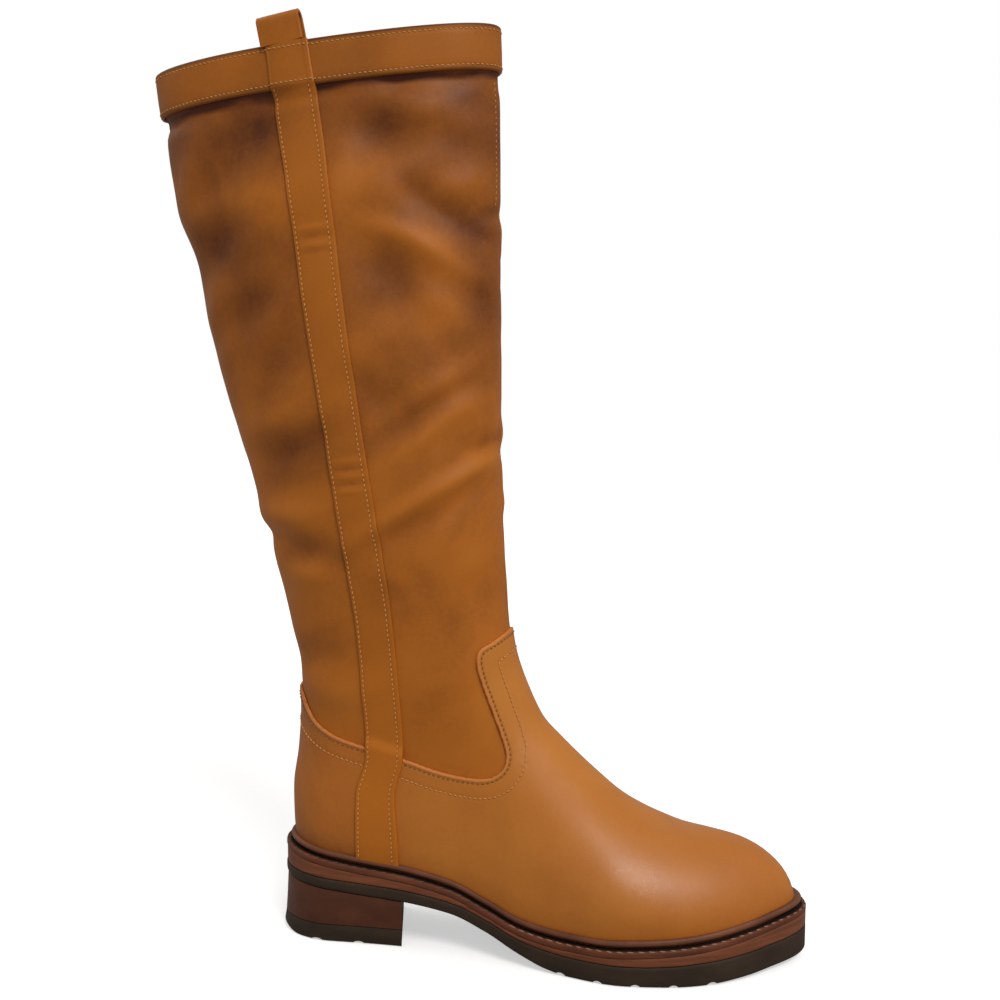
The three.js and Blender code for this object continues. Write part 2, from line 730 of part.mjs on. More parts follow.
// The folded strip at the collar: a long leg inside the upper, a short one over the band's edge.
function makePullLoop() {
  const height = COLLAR_BACK + 10;
  const strapMiddle = (curve(STRAP, "rear")(height) + curve(STRAP, "fore")(height)) / 2;
  const middle = strapMiddle - LOOP_BACK;
  const edge = collarHeight(middle);
  const across = soleCentre(middle) + upperHalf(middle, edge, 1) - WALL / 2;
  const reach = LOOP_OPENING + LOOP_THICKNESS;
  const outline = new THREE.Shape();
  outline.moveTo(reach, GAP);
  outline.lineTo(reach, LOOP_RISE - reach);
  outline.absarc(0, LOOP_RISE - reach, reach, 0, Math.PI, false);
  outline.lineTo(-reach, -LOOP_TUCK);
  outline.lineTo(-LOOP_OPENING, -LOOP_TUCK);
  outline.lineTo(-LOOP_OPENING, LOOP_RISE - reach);
  outline.absarc(0, LOOP_RISE - reach, LOOP_OPENING, Math.PI, 0, true);
  outline.lineTo(LOOP_OPENING, GAP);
  const strip = new THREE.ExtrudeGeometry(outline, {
    depth: LOOP_WIDTH,
    bevelEnabled: false,
    curveSegments: 8,
  });
  strip.translate(0, 0, -LOOP_WIDTH / 2);
  strip.rotateX(Math.PI / 2);
  strip.rotateZ(Math.PI);
  strip.rotateX(-Math.atan(collarDrop) - LOOP_LEAN);
  const at = place(middle, across, edge + LOOP_SEAT);
  strip.translate(at.x, at.y, at.z);
  return toSolid(strip);
}

const LEATHER = new THREE.Color(0xa8682c);
const part = new THREE.Group();

function addPart(name, solid, colour, roughness) {
  const geometry = toGeometry(solid);
  geometry.computeVertexNormals();
  const material = new THREE.MeshStandardMaterial({ color: colour, roughness, metalness: 0 });
  material.name = name;
  const mesh = new THREE.Mesh(geometry, material);
  mesh.name = name;
  part.add(mesh);
}

addPart("upper", makeUpper(), LEATHER, 0.55);
addPart("insole", makeInsole(), 0xb08a5c, 0.85);
addPart("welt", makeWelt(), 0x5c3826, 0.6);
addPart("midsole", makeMidsole(), 0x553224, 0.6);
addPart("outsole", makeOutsole(), 0x2c2520, 0.8);
addPart("heel_block", makeHeelBlock(), 0x553224, 0.6);
addPart("heel_lift", makeHeelLift(), 0x2c2520, 0.8);
addPart("rand", makeRand(), 0x825f4b, 0.6);
addPart("foot_panel", makeFootPanel(), LEATHER, 0.5);
addPart("collar_band", makeCollarBand(), 0x8f5724, 0.6);
addPart("side_strap", makeSideStrap(), 0x8f5724, 0.6);
addPart("pull_loop", makePullLoop(), 0x8f5724, 0.6);

export default part;
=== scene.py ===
"""Looks for a knee-high pull-on boot of smooth leather, with a stitched welt and a lugged rubber sole.

Sizes in the tables are millimetres of the boot. "Along" runs forward from the back of the foot,
"across" runs to the outer side, and height is measured from the floor.
"""

import math

import bmesh
import bpy
import numpy as np
from bpy.props import FloatProperty, FloatVectorProperty, PointerProperty
from mathutils import Matrix, Vector


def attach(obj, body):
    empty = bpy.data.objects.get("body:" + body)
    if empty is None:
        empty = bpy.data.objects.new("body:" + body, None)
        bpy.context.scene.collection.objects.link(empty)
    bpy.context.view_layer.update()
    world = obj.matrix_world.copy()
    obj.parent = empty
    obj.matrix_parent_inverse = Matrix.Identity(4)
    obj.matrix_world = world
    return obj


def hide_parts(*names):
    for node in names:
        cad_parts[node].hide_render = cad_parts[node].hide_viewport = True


bl_info = {
    "name": "Knee-high boot",
    "version": (1, 0, 0),
    "blender": (4, 5, 0),
    "location": "3D View > Sidebar > Boot",
    "description": "Builds a knee-high leather boot piece by piece around its frame",
    "category": "Object",
}

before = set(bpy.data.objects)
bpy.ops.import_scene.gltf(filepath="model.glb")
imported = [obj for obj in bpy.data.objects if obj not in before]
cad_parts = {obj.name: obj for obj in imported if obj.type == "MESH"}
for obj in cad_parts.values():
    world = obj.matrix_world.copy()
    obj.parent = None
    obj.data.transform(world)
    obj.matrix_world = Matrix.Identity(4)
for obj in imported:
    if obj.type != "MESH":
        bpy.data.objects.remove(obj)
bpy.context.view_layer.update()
BODY = "root"

# Fixed sizes that every piece shares, in millimetres.
HEEL_END = -4.5
TOE_END = 286.5
HEEL_ROUND = 34.0
TOE_ROUND = 66.0
TOE_FULLNESS = 2.6
HEEL_CENTRE = 34.0
LEDGE = 5.6
GAP = 0.3
BASE_GAP = 0.5
WALL = 2.0
PANEL_LIFT = 1.8
BAND_HEIGHT = 23.4
STRAP_LIFT = 1.7
RAND_WIDTH = 3.0
RAND_LIFT = 1.5
RAND_HEIGHT = 4.9
WELT_WIDTH = 13.0
WELT_THICKNESS = 3.0
INSOLE_THICKNESS = 3.5
COLLAR_BACK = 476.0
COLLAR_FRONT = 496.7
TOP_LEVEL = 23.0
UPPER_INSET = LEDGE + GAP + PANEL_LIFT
LATERAL, MEDIAL = 1, -1
BATCH = 4096  # points compared with a line at one time
SHARE_HALVINGS, RING_HALVINGS = 30, 40  # how often a search halves its range


def table(columns, rows):
    """A table with named columns. Its first column is the one looked up."""
    return {"columns": columns.split(), "rows": np.array(rows, float)}


# Half widths of the sole about its centre line, and the line's own sideways shift.
SOLE = table("along lateral medial centre", [
    [-5, 31, 30, -3],
    [45, 31, 30, -2.6],
    [97, 32, 29, -1],
    [116, 35, 30.5, -0.3],
    [131, 39.5, 33, 0],
    [158, 47, 40, -0.2],
    [190, 54.5, 45.5, -0.8],
    [212, 53, 45.5, -1.5],
    [236, 47.4, 43.5, -2.6],
    [256, 40, 40.5, -3.5],
    [270, 33.6, 37, -4],
    [290, 28, 33, -4.5],
])

# Heights of the sole's layers at its edge.
LAYERS = table("along under rubber top", [
    [-5, 32.8, 37.8, 50.8],
    [20, 30.8, 36.4, 47.2],
    [45, 28.4, 34.5, 43.4],
    [70, 26.2, 32.4, 40.4],
    [95, 22.4, 28.4, 35.2],
    [116, 15.2, 21.6, 27.2],
    [136, 6.6, 14.2, 20.2],
    [150, 1.9, 11.6, 18],
    [162, 0.1, 10.4, 17.2],
    [170, 0, 10.2, 17.2],
    [200, 0, 10.2, 18.4],
    [225, 0, 11.4, 20.2],
    [250, 1.2, 13.2, 23.4],
    [270, 2.8, 15, 26.2],
    [290, 4.4, 17.2, 28.8],
])

# The upper's side view by level: back height, front point, and the front's rounding length.
LEVELS = table("level back front height rounding", [
    [0, 50.4, 322, 65.4, 38],
    [1, 58, 300, 65, 38],
    [2, 67, 281, 64.4, 38],
    [3, 77, 262, 63.6, 39],
    [4, 87, 243, 63.8, 39],
    [5, 96, 224, 66, 40],
    [6, 104, 206, 72, 42],
    [7, 112, 187, 81.5, 46],
    [8, 120, 170, 95.3, 50],
    [9, 129, 153.5, 110.7, 54],
    [10, 139, 140.5, 124.5, 56],
    [11, 150, 132, 141.5, 58],
    [12, 163, 125.8, 158.5, 60],
    [13, 180, 121.9, 180, 61],
    [14, 202, 120, 204, 62],
    [17, 280, 117, 284, 74],
    [20, 370, 116, 375, 88],
    [22, 430, 115, 444, 94],
    [23, 476, 113.2, 496.7, 96],
])

# Shaft by height: the back line, the rounding behind, and the two half widths.
SHAFT = table("height back rounding lateral medial", [
    [48, 3.6, 26, 25, 24],
    [62, 2, 27, 28, 27],
    [80, 1.6, 28, 29, 28],
    [105, 4.6, 30, 29.5, 29],
    [125, 5.6, 36, 31, 31],
    [150, 4, 44, 33.5, 33.5],
    [175, -1.5, 52, 35.5, 35],
    [200, -8, 60, 37, 36.5],
    [242, -19.5, 68, 39.5, 38.5],
    [309, -40, 78, 40.5, 39],
    [376, -57.5, 88, 38, 37],
    [420, -70, 93, 34.5, 34],
    [450, -74, 95, 31.5, 31],
    [476, -77.5, 96, 29.5, 29],
    [500, -80, 97, 28, 27.5],
])

# How much wider the foot is than its base, by height above the base.
SWELL = table("rise fore rear", [
    [0, 0, 0],
    [8, 1.6, 2.2],
    [18, 2.4, 3.8],
    [30, 2, 4.4],
    [50, 0, 3.6],
    [80, -2, 2.6],
    [120, -3, 2],
])

# Upper edge of the foot panel in side view, from the back over the side to the tongue's point.
TOPLINE = np.array(
    [
        [-40, 141],
        [0, 140],
        [8, 136],
        [14, 127],
        [22, 120],
        [37, 113.7],
        [69, 105],
        [88, 99.3],
        [103, 96.6],
        [115, 96.6],
        [122.5, 100.5],
        [125, 107],
        [123.5, 114],
        [116, 134],
        [110.5, 149],
        [108, 159],
        [109.5, 165.5],
        [116, 169.5],
        [124, 175],
        [150, 193],
    ],
    float,
)

# Edges of the side strap in side view.
STRAP = table("height rear fore", [
    [30, 42, 66.5],
    [55, 42.5, 66.5],
    [84, 43, 64.8],
    [106, 48.4, 69],
    [172, 45, 65.5],
    [235, 35.5, 56.8],
    [289, 27, 48],
    [350, 16.5, 38.8],
    [412, 7.2, 30.4],
    [450, -0.8, 24],
    [484, -5.6, 17.6],
    [510, -9.4, 13.8],
])

# Soft creases of the slack shaft on its outer side, one a row: where, which way they run
# (degrees up from forwards), how long and wide, how far in (-) or out (+), and how much darker
# (-) or lighter (+) the leather is drawn there: mostly painted shade in the troughs and painted
# light on the ridges, with a few darker patches away from any crease.
CREASES = table("along height slant length width depth tone", [
    [-20, 436, 50, 34, 11, -2.6, -0.7],
    [-52, 420, 72, 26, 10, 1.6, 0.3],
    [-10, 402, 12, 26, 13, 2.2, 0.7],
    [-32, 381, 62, 22, 12, -3.0, -1.0],
    [-8, 384, 30, 18, 8, 1.0, 0.2],
    [-40, 352, 66, 40, 9, 1.4, 0.5],
    [-13, 346, 40, 20, 10, -1.8, -0.5],
    [2, 322, 60, 22, 11, -1.9, -0.6],
    [-6, 332, 55, 16, 8, 1.2, 0.3],
    [41, 462, 10, 20, 8, 1.6, 0.5],
    [57, 438, -14, 20, 11, -2.4, -0.7],
    [79, 450, -20, 24, 10, 1.8, 0.6],
    [56, 410, 14, 24, 12, 2.0, 0.5],
    [78, 405, -38, 17, 9, -2.2, -0.5],
    [93, 394, -32, 18, 7, -1.6, -0.35],
    [108, 386, -20, 12, 6, -1.2, -0.3],
    [66, 385, -16, 22, 6, 1.4, 0.5],
    [86, 374, -30, 24, 6, 1.8, 0.6],
    [102, 412, 20, 15, 8, 1.6, 0.5],
    [66, 364, -34, 24, 11, -2.2, -0.8],
    [85, 352, -36, 20, 8, 1.4, 0.5],
    [112, 350, -60, 12, 7, -1.3, -0.35],
    [118, 400, 30, 14, 3, -1.6, -0.4],
    [62, 330, 20, 30, 12, 1.0, 0.2],
    [92, 322, -40, 30, 12, -1.0, -0.3],
    [12, 274, 24, 22, 8, -2.2, -0.7],
    [4, 288, 20, 22, 8, 1.3, 0.3],
    [10, 236, 8, 20, 8, 1.6, 0.5],
    [14, 217, -8, 20, 8, -1.9, -0.6],
    [14, 204, 0, 20, 7, 1.1, 0.4],
    [76, 244, 32, 40, 5, 1.7, 0.6],
    [74, 231, 30, 28, 6, -1.9, -0.6],
    [112, 266, 40, 22, 5, 1.7, 0.6],
    [104, 254, 34, 22, 6, -1.0, -0.3],
    [80, 292, 34, 32, 5, -1.4, -0.4],
    [82, 279, 36, 30, 5, 1.4, 0.4],
    [88, 306, 38, 28, 6, 1.0, 0.3],
    [122, 282, 40, 12, 3, -1.8, -0.5],
    [122, 262, 70, 14, 4, -1.2, -0.4],
    [26, 158, 6, 22, 12, -1.4, -0.4],
    [26, 139, 0, 20, 8, 0.9, 0.3],
    [96, 178, 50, 30, 14, -0.9, -0.2],
    [88, 132, 12, 18, 12, -0.8, -0.3],
    [100, 214, 10, 26, 12, 0.8, 0.2],
    [36, 428, 80, 44, 9, 1.0, 0.4],
    [62, 456, 8, 44, 10, 0.0, -0.5],
    [104, 446, -60, 26, 10, 0.0, -0.4],
    [94, 436, -30, 16, 7, -1.0, -0.4],
    [42, 372, 60, 24, 10, 0.8, 0.4],
    [58, 300, -30, 22, 9, -1.1, -0.5],
    [-30, 325, 70, 20, 9, 1.0, 0.3],
    [100, 296, 20, 20, 7, 0.9, 0.3],
    [62, 196, 30, 24, 12, -0.7, -0.4],
    [6, 180, 60, 24, 8, 0.8, 0.3],
])

# Soft folds in the shaft's back and front outline: height, width, depth.
BACK_FOLDS = ((236, 9, 1.2), (224, 6, -1.6), (372, 16, -1.3), (398, 10, 0.9))
FRONT_FOLDS = ((398, 5, -1.0), (284, 7, 0.7), (272, 6, -1.0))

# The strap's own small cross creases: height, width, depth.
STRAP_CREASES = table("height width depth", [
    [388.0, 1.5, 0.55],
    [383.5, 1.3, -0.5],
    [379.0, 1.5, 0.5],
    [375.5, 1.3, -0.35],
    [266.5, 1.3, 0.45],
    [262.5, 1.2, -0.4],
    [258.6, 1.3, 0.45],
    [254.6, 1.2, -0.45],
    [250.8, 1.4, 0.45],
])


def clip01(x):
    return np.clip(x, 0.0, 1.0)


def mix(a, b, t):
    return a + (b - a) * t


def step(low, high, x):
    t = clip01((np.asarray(x, float) - low) / (high - low))
    return t * t * (3 - 2 * t)


def bell(x, middle, width):
    """1 at the middle, fading smoothly to 0 over a few widths."""
    return np.exp(-(((x - middle) / width) ** 2))


def curve(source, name):
    """A column of a table as a smooth function of the table's first column."""
    xs = source["rows"][:, 0]
    ys = source["rows"][:, source["columns"].index(name)]
    run = np.diff(ys) / np.diff(xs)
    total = run[1:] + run[:-1]
    same = run[1:] * run[:-1] > 0
    inner = np.where(same, 2 * run[1:] * run[:-1] / np.where(same, total, 1), 0)
    slope = np.concatenate([run[:1], inner, run[-1:]])

    def at(where):
        x = np.clip(np.asarray(where, float), xs[0], xs[-1])
        i = np.clip(np.searchsorted(xs, x) - 1, 0, len(xs) - 2)
        h = xs[i + 1] - xs[i]
        t = (x - xs[i]) / h
        start = ys[i] * (1 + 2 * t) * (1 - t) ** 2 + slope[i] * h * t * (1 - t) ** 2
        end = ys[i + 1] * t * t * (3 - 2 * t) + slope[i + 1] * h * t * t * (t - 1)
        return start + end

    return at


sole_centre = curve(SOLE, "centre")
sole_lateral, sole_medial = curve(SOLE, "lateral"), curve(SOLE, "medial")
underside, rubber_top, sole_top = (curve(LAYERS, n) for n in ("under", "rubber", "top"))
level_back, level_front = curve(LEVELS, "back"), curve(LEVELS, "front")
level_height, level_rounding = curve(LEVELS, "height"), curve(LEVELS, "rounding")
shaft_back, shaft_rounding = curve(SHAFT, "back"), curve(SHAFT, "rounding")
shaft_lateral, shaft_medial = curve(SHAFT, "lateral"), curve(SHAFT, "medial")
swell_fore, swell_rear = curve(SWELL, "fore"), curve(SWELL, "rear")
strap_rear, strap_fore = curve(STRAP, "rear"), curve(STRAP, "fore")


def by_side(side, lateral, medial):
    return np.where(np.asarray(side) > 0, lateral, medial)


def sole_half(along, side):
    return by_side(side, sole_lateral(along), sole_medial(along))


def layer_half(along, side, inset):
    """Half width of a layer of the sole, drawn in from the sole's edge."""
    back = clip01(1 - (along - HEEL_END - inset) / (HEEL_ROUND - inset))
    toe = clip01(1 - (TOE_END - inset - along) / (TOE_ROUND - inset))
    full = sole_half(along, side) - inset
    return full * np.sqrt(np.clip(1 - back**2 - toe**TOE_FULLNESS, 0, None))


LINE_STEPS = 700
_level = TOP_LEVEL * np.arange(LINE_STEPS + 1) / LINE_STEPS
FRONT_LINE = np.stack([level_front(_level), level_height(_level), level_rounding(_level)], 1)
_last = [FRONT_LINE[-1, 0] - 1, COLLAR_FRONT + 60, FRONT_LINE[-1, 2]]
FRONT_LINE = np.vstack([FRONT_LINE, _last])
COLLAR_DROP = (COLLAR_FRONT - COLLAR_BACK) / float(level_front(TOP_LEVEL) - shaft_back(COLLAR_BACK))


def collar_height(along):
    return COLLAR_BACK + COLLAR_DROP * (along - float(shaft_back(COLLAR_BACK)))


def nearest_on_front(along, height):
    """Number of the front line's nearest point, for many side-view points."""
    a, h = np.ravel(along), np.ravel(height)
    found = np.empty(len(a), int)
    for i in range(0, len(a), BATCH):
        da = a[i : i + BATCH, None] - FRONT_LINE[None, :, 0]
        dh = h[i : i + BATCH, None] - FRONT_LINE[None, :, 1]
        found[i : i + BATCH] = np.argmin(da * da + dh * dh, axis=1)
    return found.reshape(np.shape(along))


def front_share(along, height, near):
    """How far side-view points lie inside the front line, as a share of its rounding."""
    best = np.full(np.shape(along), np.inf)
    share = np.zeros(np.shape(along))
    for shift in (-2, -1, 0, 1):
        i = np.clip(near + shift, 0, len(FRONT_LINE) - 2)
        a0, h0, r0 = FRONT_LINE[i].T if i.ndim == 1 else np.moveaxis(FRONT_LINE[i], -1, 0)
        a1, h1, r1 = FRONT_LINE[i + 1].T if i.ndim == 1 else np.moveaxis(FRONT_LINE[i + 1], -1, 0)
        span = (a1 - a0) ** 2 + (h1 - h0) ** 2
        t = clip01(((along - a0) * (a1 - a0) + (height - h0) * (h1 - h0)) / span)
        away = np.hypot(along - mix(a0, a1, t), height - mix(h0, h1, t))
        turn = (a1 - a0) * (height - h0) - (h1 - h0) * (along - a0)
        now = np.where(turn >= 0, away, -away) / mix(r0, r1, t)
        closer = away < best
        share = np.where(closer, now, share)
        best = np.where(closer, away, best)
    return share


def fullness(along, height, near):
    """1 in the middle of the side view, 0 on the outline, negative outside."""
    front = np.clip(1 - front_share(along, height, near), 0, 4)
    toe = np.clip(1 - (TOE_END - UPPER_INSET - along) / (TOE_ROUND - UPPER_INSET), 0, 4)
    back = np.clip(1 - (along - shaft_back(height)) / shaft_rounding(height), 0, 4)
    return 1 - front**2 - toe**TOE_FULLNESS - back**2


def squared_half(along, height, side, near):
    """The upper's half width, squared, which stays smooth through its outline."""
    rise = np.clip(height - sole_top(along), 0, None)
    swell = mix(swell_rear(rise), swell_fore(rise), step(60, 150, along))
    foot = sole_half(along, side) - UPPER_INSET + swell
    shaft = by_side(side, shaft_lateral(height), shaft_medial(height))
    full = mix(foot, shaft, step(85, 150, height) * (1 - step(120, 170, along)))
    return full**2 * fullness(along, height, near)


class Surface:
    """Points of the upper's outer face with their outward directions, in (along, across, height)."""

    def __init__(self, along, height, side):
        along, height = np.broadcast_arrays(np.asarray(along, float), np.asarray(height, float))
        side = np.broadcast_to(np.asarray(side), along.shape)
        near = nearest_on_front(along, height)
        reach = 0.3
        squared = squared_half(along, height, side, near)
        half = np.sqrt(np.clip(squared, 1e-8, None))
        ahead = squared_half(along + reach, height, side, near)
        behind = squared_half(along - reach, height, side, near)
        above = squared_half(along, height + reach, side, near)
        below = squared_half(along, height - reach, side, near)
        bend = (sole_centre(along + reach) - sole_centre(along - reach)) / (2 * reach)
        across = side * half
        normal = np.stack(
            [
                -2 * across * bend - (ahead - behind) / (2 * reach),
                2 * across,
                -(above - below) / (2 * reach),
            ],
            -1,
        )
        self.normal = normal / np.linalg.norm(normal, axis=-1, keepdims=True)
        self.point = np.stack([along, sole_centre(along) + across, height], -1)
        self.along, self.height, self.side = along, height, side

    def lifted(self, lift):
        """The points moved outwards, together with the shaft's creases."""
        by = np.asarray(lift, float) + slack(self.along, self.height, self.side)
        return self.point + self.normal * by[..., None]


def crease_sum(along, height, column):
    """Sum of all creases at side-view points, for the column depth or tone."""
    total = np.zeros(np.shape(along))
    for row in CREASES["rows"]:
        at = dict(zip(CREASES["columns"], row))
        cos, sin = math.cos(math.radians(at["slant"])), math.sin(math.radians(at["slant"]))
        da, dh = along - at["along"], height - at["height"]
        down_length = (da * cos + dh * sin) / at["length"]
        broad = 1.5 if column == "tone" else 1.0
        over_width = (dh * cos - da * sin) / (at["width"] * broad)
        total = total + at[column] * np.exp(-(down_length**2) - over_width**2)
    return total


def calm(along, height):
    """Where the shaft may crease: not on the foot, and hardly under the stiff collar band."""
    below_collar = collar_height(along) - height
    return step(104, 150, height) * step(20, 46, below_collar)


def under_band(along, height, side):
    """The slack shaft falls away in soft waves just below the band's lower edge."""
    drop = collar_height(along) - height - BAND_HEIGHT
    wave = 0.55 + 0.3 * np.sin(along * 0.085 + 1.1 * side) + 0.25 * np.sin(along * 0.19 + 2.0)
    shape = bell(drop, 3.5, 5.5) * step(-1, 1.5, drop)
    return -3.2 * np.clip(wave, 0.15, None) * shape


def ripple(along, height, side):
    """Low, broad waves that keep the leather from looking turned on a lathe."""
    first = np.sin(along * 0.071 + height * 0.052 + side) * np.sin(height * 0.043 - along * 0.03)
    second = np.sin(along * 0.16 - height * 0.11 + 2 * side) * np.sin(height * 0.13 + 0.7)
    return 0.55 * first + 0.22 * second


def crease_field(along, height, side, column):
    """Creases of both sides: the inner side wears the outer side's set, shifted."""
    outer = crease_sum(along, height, column)
    inner = 0.8 * crease_sum(along - 9, height + 21, column)
    return by_side(side, outer, inner)


def outline_fade(along, height):
    """Creases die out on the front and back lines, where the two sides meet."""
    back = along - shaft_back(height)
    front = level_front_at(height) - along
    return step(-1, 16, back) * step(-1, 12, front)


_order = np.argsort(FRONT_LINE[:, 1])
_front_height, _front_along = FRONT_LINE[_order, 1], FRONT_LINE[_order, 0]


def level_front_at(height):
    return np.interp(height, _front_height, _front_along)


def slack(along, height, side):
    """Outward shift of the shaft's leather, in millimetres."""
    edge = 0.35 + 0.65 * outline_fade(along, height)
    creases = crease_field(along, height, side, "depth") * edge
    body = creases + ripple(along, height, side) * edge + outline_folds(along, height)
    body = sizes().crease_strength * body
    return calm(along, height) * body + under_band(along, height, side)


def outline_folds(along, height):
    """Soft folds that show on the shaft's back line and its front line."""
    behind = 1 - step(4, 40, along - shaft_back(height))
    before = 1 - step(3, 26, level_front_at(height) - along)
    back = sum(depth * bell(height, at, width) for at, width, depth in BACK_FOLDS)
    front = sum(depth * bell(height, at, width) for at, width, depth in FRONT_FOLDS)
    return behind * back + before * front


def sizes():
    return bpy.context.scene.boot_sizes


def colours():
    return bpy.context.scene.boot_colours


# ---------------------------------------------------------------- meshes


def to_world(points):
    """(along, across, height) in millimetres to metres in the boot's frame."""
    p = np.asarray(points, float)
    return np.stack([-p[..., 1], HEEL_CENTRE - p[..., 0], p[..., 2]], -1) / 1000.0


def new_object(name, verts, faces, materials, slots=None, smooth_angle=50.0, marks=None):
    """A piece on the boot's body, with its materials and values at its points."""
    mesh = bpy.data.meshes.new(name)
    mesh.from_pydata([tuple(v) for v in verts], [], faces)
    for material in materials:
        mesh.materials.append(material)
    if slots is not None:
        mesh.polygons.foreach_set("material_index", np.asarray(slots, np.int32))
    for label, values in (marks or {}).items():
        layer = mesh.attributes.new(label, "FLOAT", "POINT")
        layer.data.foreach_set("value", np.asarray(values, np.float32).reshape(-1))
    mesh.polygons.foreach_set("use_smooth", np.ones(len(mesh.polygons), bool))
    mesh.update()
    tidy_mesh(mesh)
    mesh.set_sharp_from_angle(angle=math.radians(smooth_angle))
    piece = bpy.data.objects.new(name, mesh)
    bpy.context.scene.collection.objects.link(piece)
    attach(piece, BODY)
    return piece


def tidy_mesh(mesh):
    """Merges points that coincide and turns every face outwards."""
    work = bmesh.new()
    work.from_mesh(mesh)
    bmesh.ops.remove_doubles(work, verts=work.verts, dist=2e-8)
    bmesh.ops.dissolve_degenerate(work, dist=1e-9, edges=work.edges)
    bmesh.ops.recalc_face_normals(work, faces=work.faces)
    work.to_mesh(mesh)
    work.free()
    mesh.update()


def grid_faces(rows, columns, closed_rows=False, closed_columns=True):
    i = np.arange(rows if closed_rows else rows - 1)
    j = np.arange(columns if closed_columns else columns - 1)
    i, j = np.meshgrid(i, j, indexing="ij")
    i2, j2 = (i + 1) % rows, (j + 1) % columns
    quads = np.stack([i * columns + j, i * columns + j2, i2 * columns + j2, i2 * columns + j], -1)
    return quads.reshape(-1, 4)


def loft(
    name,
    loops,
    materials,
    slot_of=None,
    closed_rows=False,
    caps=(),
    tones=None,
    angle=50.0,
    keep=None,
    polish=None,
):
    """A body from closed loops of points, (rows, columns, 3) in (along, across, height).

    slot_of and keep take a face's row and column; tones and polish are values at the points.
    """
    rows, columns = loops.shape[:2]
    faces = grid_faces(rows, columns, closed_rows).tolist()
    slots = None
    if slot_of is not None:
        slots = [slot_of(k // columns, k % columns) for k in range(len(faces))]
    if keep is not None:
        kept = [k for k in range(len(faces)) if keep(k // columns, k % columns)]
        faces = [faces[k] for k in kept]
        slots = [slots[k] for k in kept]
    for cap in caps:
        start = cap % rows * columns
        faces.append(list(range(start, start + columns)))
        if slots is not None:
            slots.append(0)
    verts = to_world(loops).reshape(-1, 3)
    marks = {"tone": tones, "polish": polish}
    marks = {label: values for label, values in marks.items() if values is not None}
    return new_object(name, verts, faces, materials, slots, angle, marks)


def turns(count, extra=()):
    """Angles round the upper, closer together at the front and back seams."""
    even = np.arange(count) * 2 * math.pi / count
    more = [base + sign * e for base in (0, math.pi) for sign in (1, -1) for e in extra]
    angles = np.mod(np.concatenate([even, more]), 2 * math.pi)
    return np.unique(np.round(angles, 5))


# ---------------------------------------------------------------- rows of the upper


def outline_share(path):
    """Share of each row's course at which the upper's outline is reached."""

    def inside_at(t):
        a, h = path(t)
        return fullness(a, h, nearest_on_front(a, h)) > 0

    inside = np.full(path.count, 0.5)
    outside = np.full(path.count, 1.02)
    whole = inside_at(np.ones(path.count))
    for _ in range(SHARE_HALVINGS):
        middle = (inside + outside) / 2
        good = inside_at(middle)
        inside = np.where(good, middle, inside)
        outside = np.where(good, outside, middle)
    return np.where(whole, 1.0, inside)


class Course:
    """Side-view courses of rows of points, from the back line to the front line."""

    def __init__(self, levels):
        levels = np.asarray(levels, float)
        self.count = len(levels)
        back = level_back(levels)
        self.start = np.stack([shaft_back(back), back])
        self.end = np.stack([level_front(levels), level_height(levels)])
        before = np.stack([level_front(levels - 0.1), level_height(levels - 0.1)])
        after = np.stack([level_front(levels + 0.1), level_height(levels + 0.1)])
        tangent = (after - before) / np.linalg.norm(after - before, axis=0)
        out = np.stack([tangent[1], -tangent[0]])
        reach = 0.32 * np.linalg.norm(self.end - self.start, axis=0)
        self.hold = self.start + np.stack([reach, 0 * reach])
        self.arrive = self.end - out * reach * 0.8
        self.low = 1 - step(0, 4.5, levels)
        self.rise = (back - float(level_back(0))) * 0.9

    def __call__(self, t):
        t = np.asarray(t, float)
        shape = (slice(None),) + (None,) * (t.ndim - 1)
        start, hold = self.start[(slice(None),) + shape], self.hold[(slice(None),) + shape]
        arrive, end = self.arrive[(slice(None),) + shape], self.end[(slice(None),) + shape]
        b0, b1, b2, b3 = (1 - t) ** 3, 3 * t * (1 - t) ** 2, 3 * t * t * (1 - t), t**3
        bend = start * b0 + hold * b1 + arrive * b2 + end * b3
        flat = mix(start[0], TOE_END - UPPER_INSET, t)
        follow = sole_top(flat) + BASE_GAP + self.rise[shape]
        low = self.low[shape]
        return mix(bend[0], flat, low), mix(bend[1], follow, low)


def skin_rows(levels, angles):
    course = Course(levels)
    end = outline_share(course)
    share = (1 - np.cos(angles)) / 2
    along, height = course(end[:, None] * share[None, :])
    top_along, top_height = Course(np.array([TOP_LEVEL]))(np.linspace(0, 1, 200)[None, :])
    level_off = collar_height(along) - 0.6 - np.interp(along, top_along[0], top_height[0])
    height = height + level_off * (clip01((np.asarray(levels) - 19) / 4) ** 1.5)[:, None]
    side = np.where(angles <= math.pi, LATERAL, MEDIAL)[None, :]
    return Surface(along, height, np.broadcast_to(side, along.shape))


def seam_groove(surface, depth=0.45):
    """A shallow closed seam down the middle of the shaft's front and back."""
    off = np.abs(surface.point[..., 1] - sole_centre(surface.along))
    return -depth * bell(off, 0, 0.55) + 0.18 * bell(off, 1.6, 0.9)


# ---------------------------------------------------------------- materials


def linear(colour):
    """Screen colour, 0 to 255, to the linear numbers that materials take."""
    c = np.asarray(colour, float) / 255.0
    low, high = c / 12.92, ((c + 0.055) / 1.055) ** 2.4
    return tuple(np.where(c <= 0.04045, low, high)) + (1.0,)


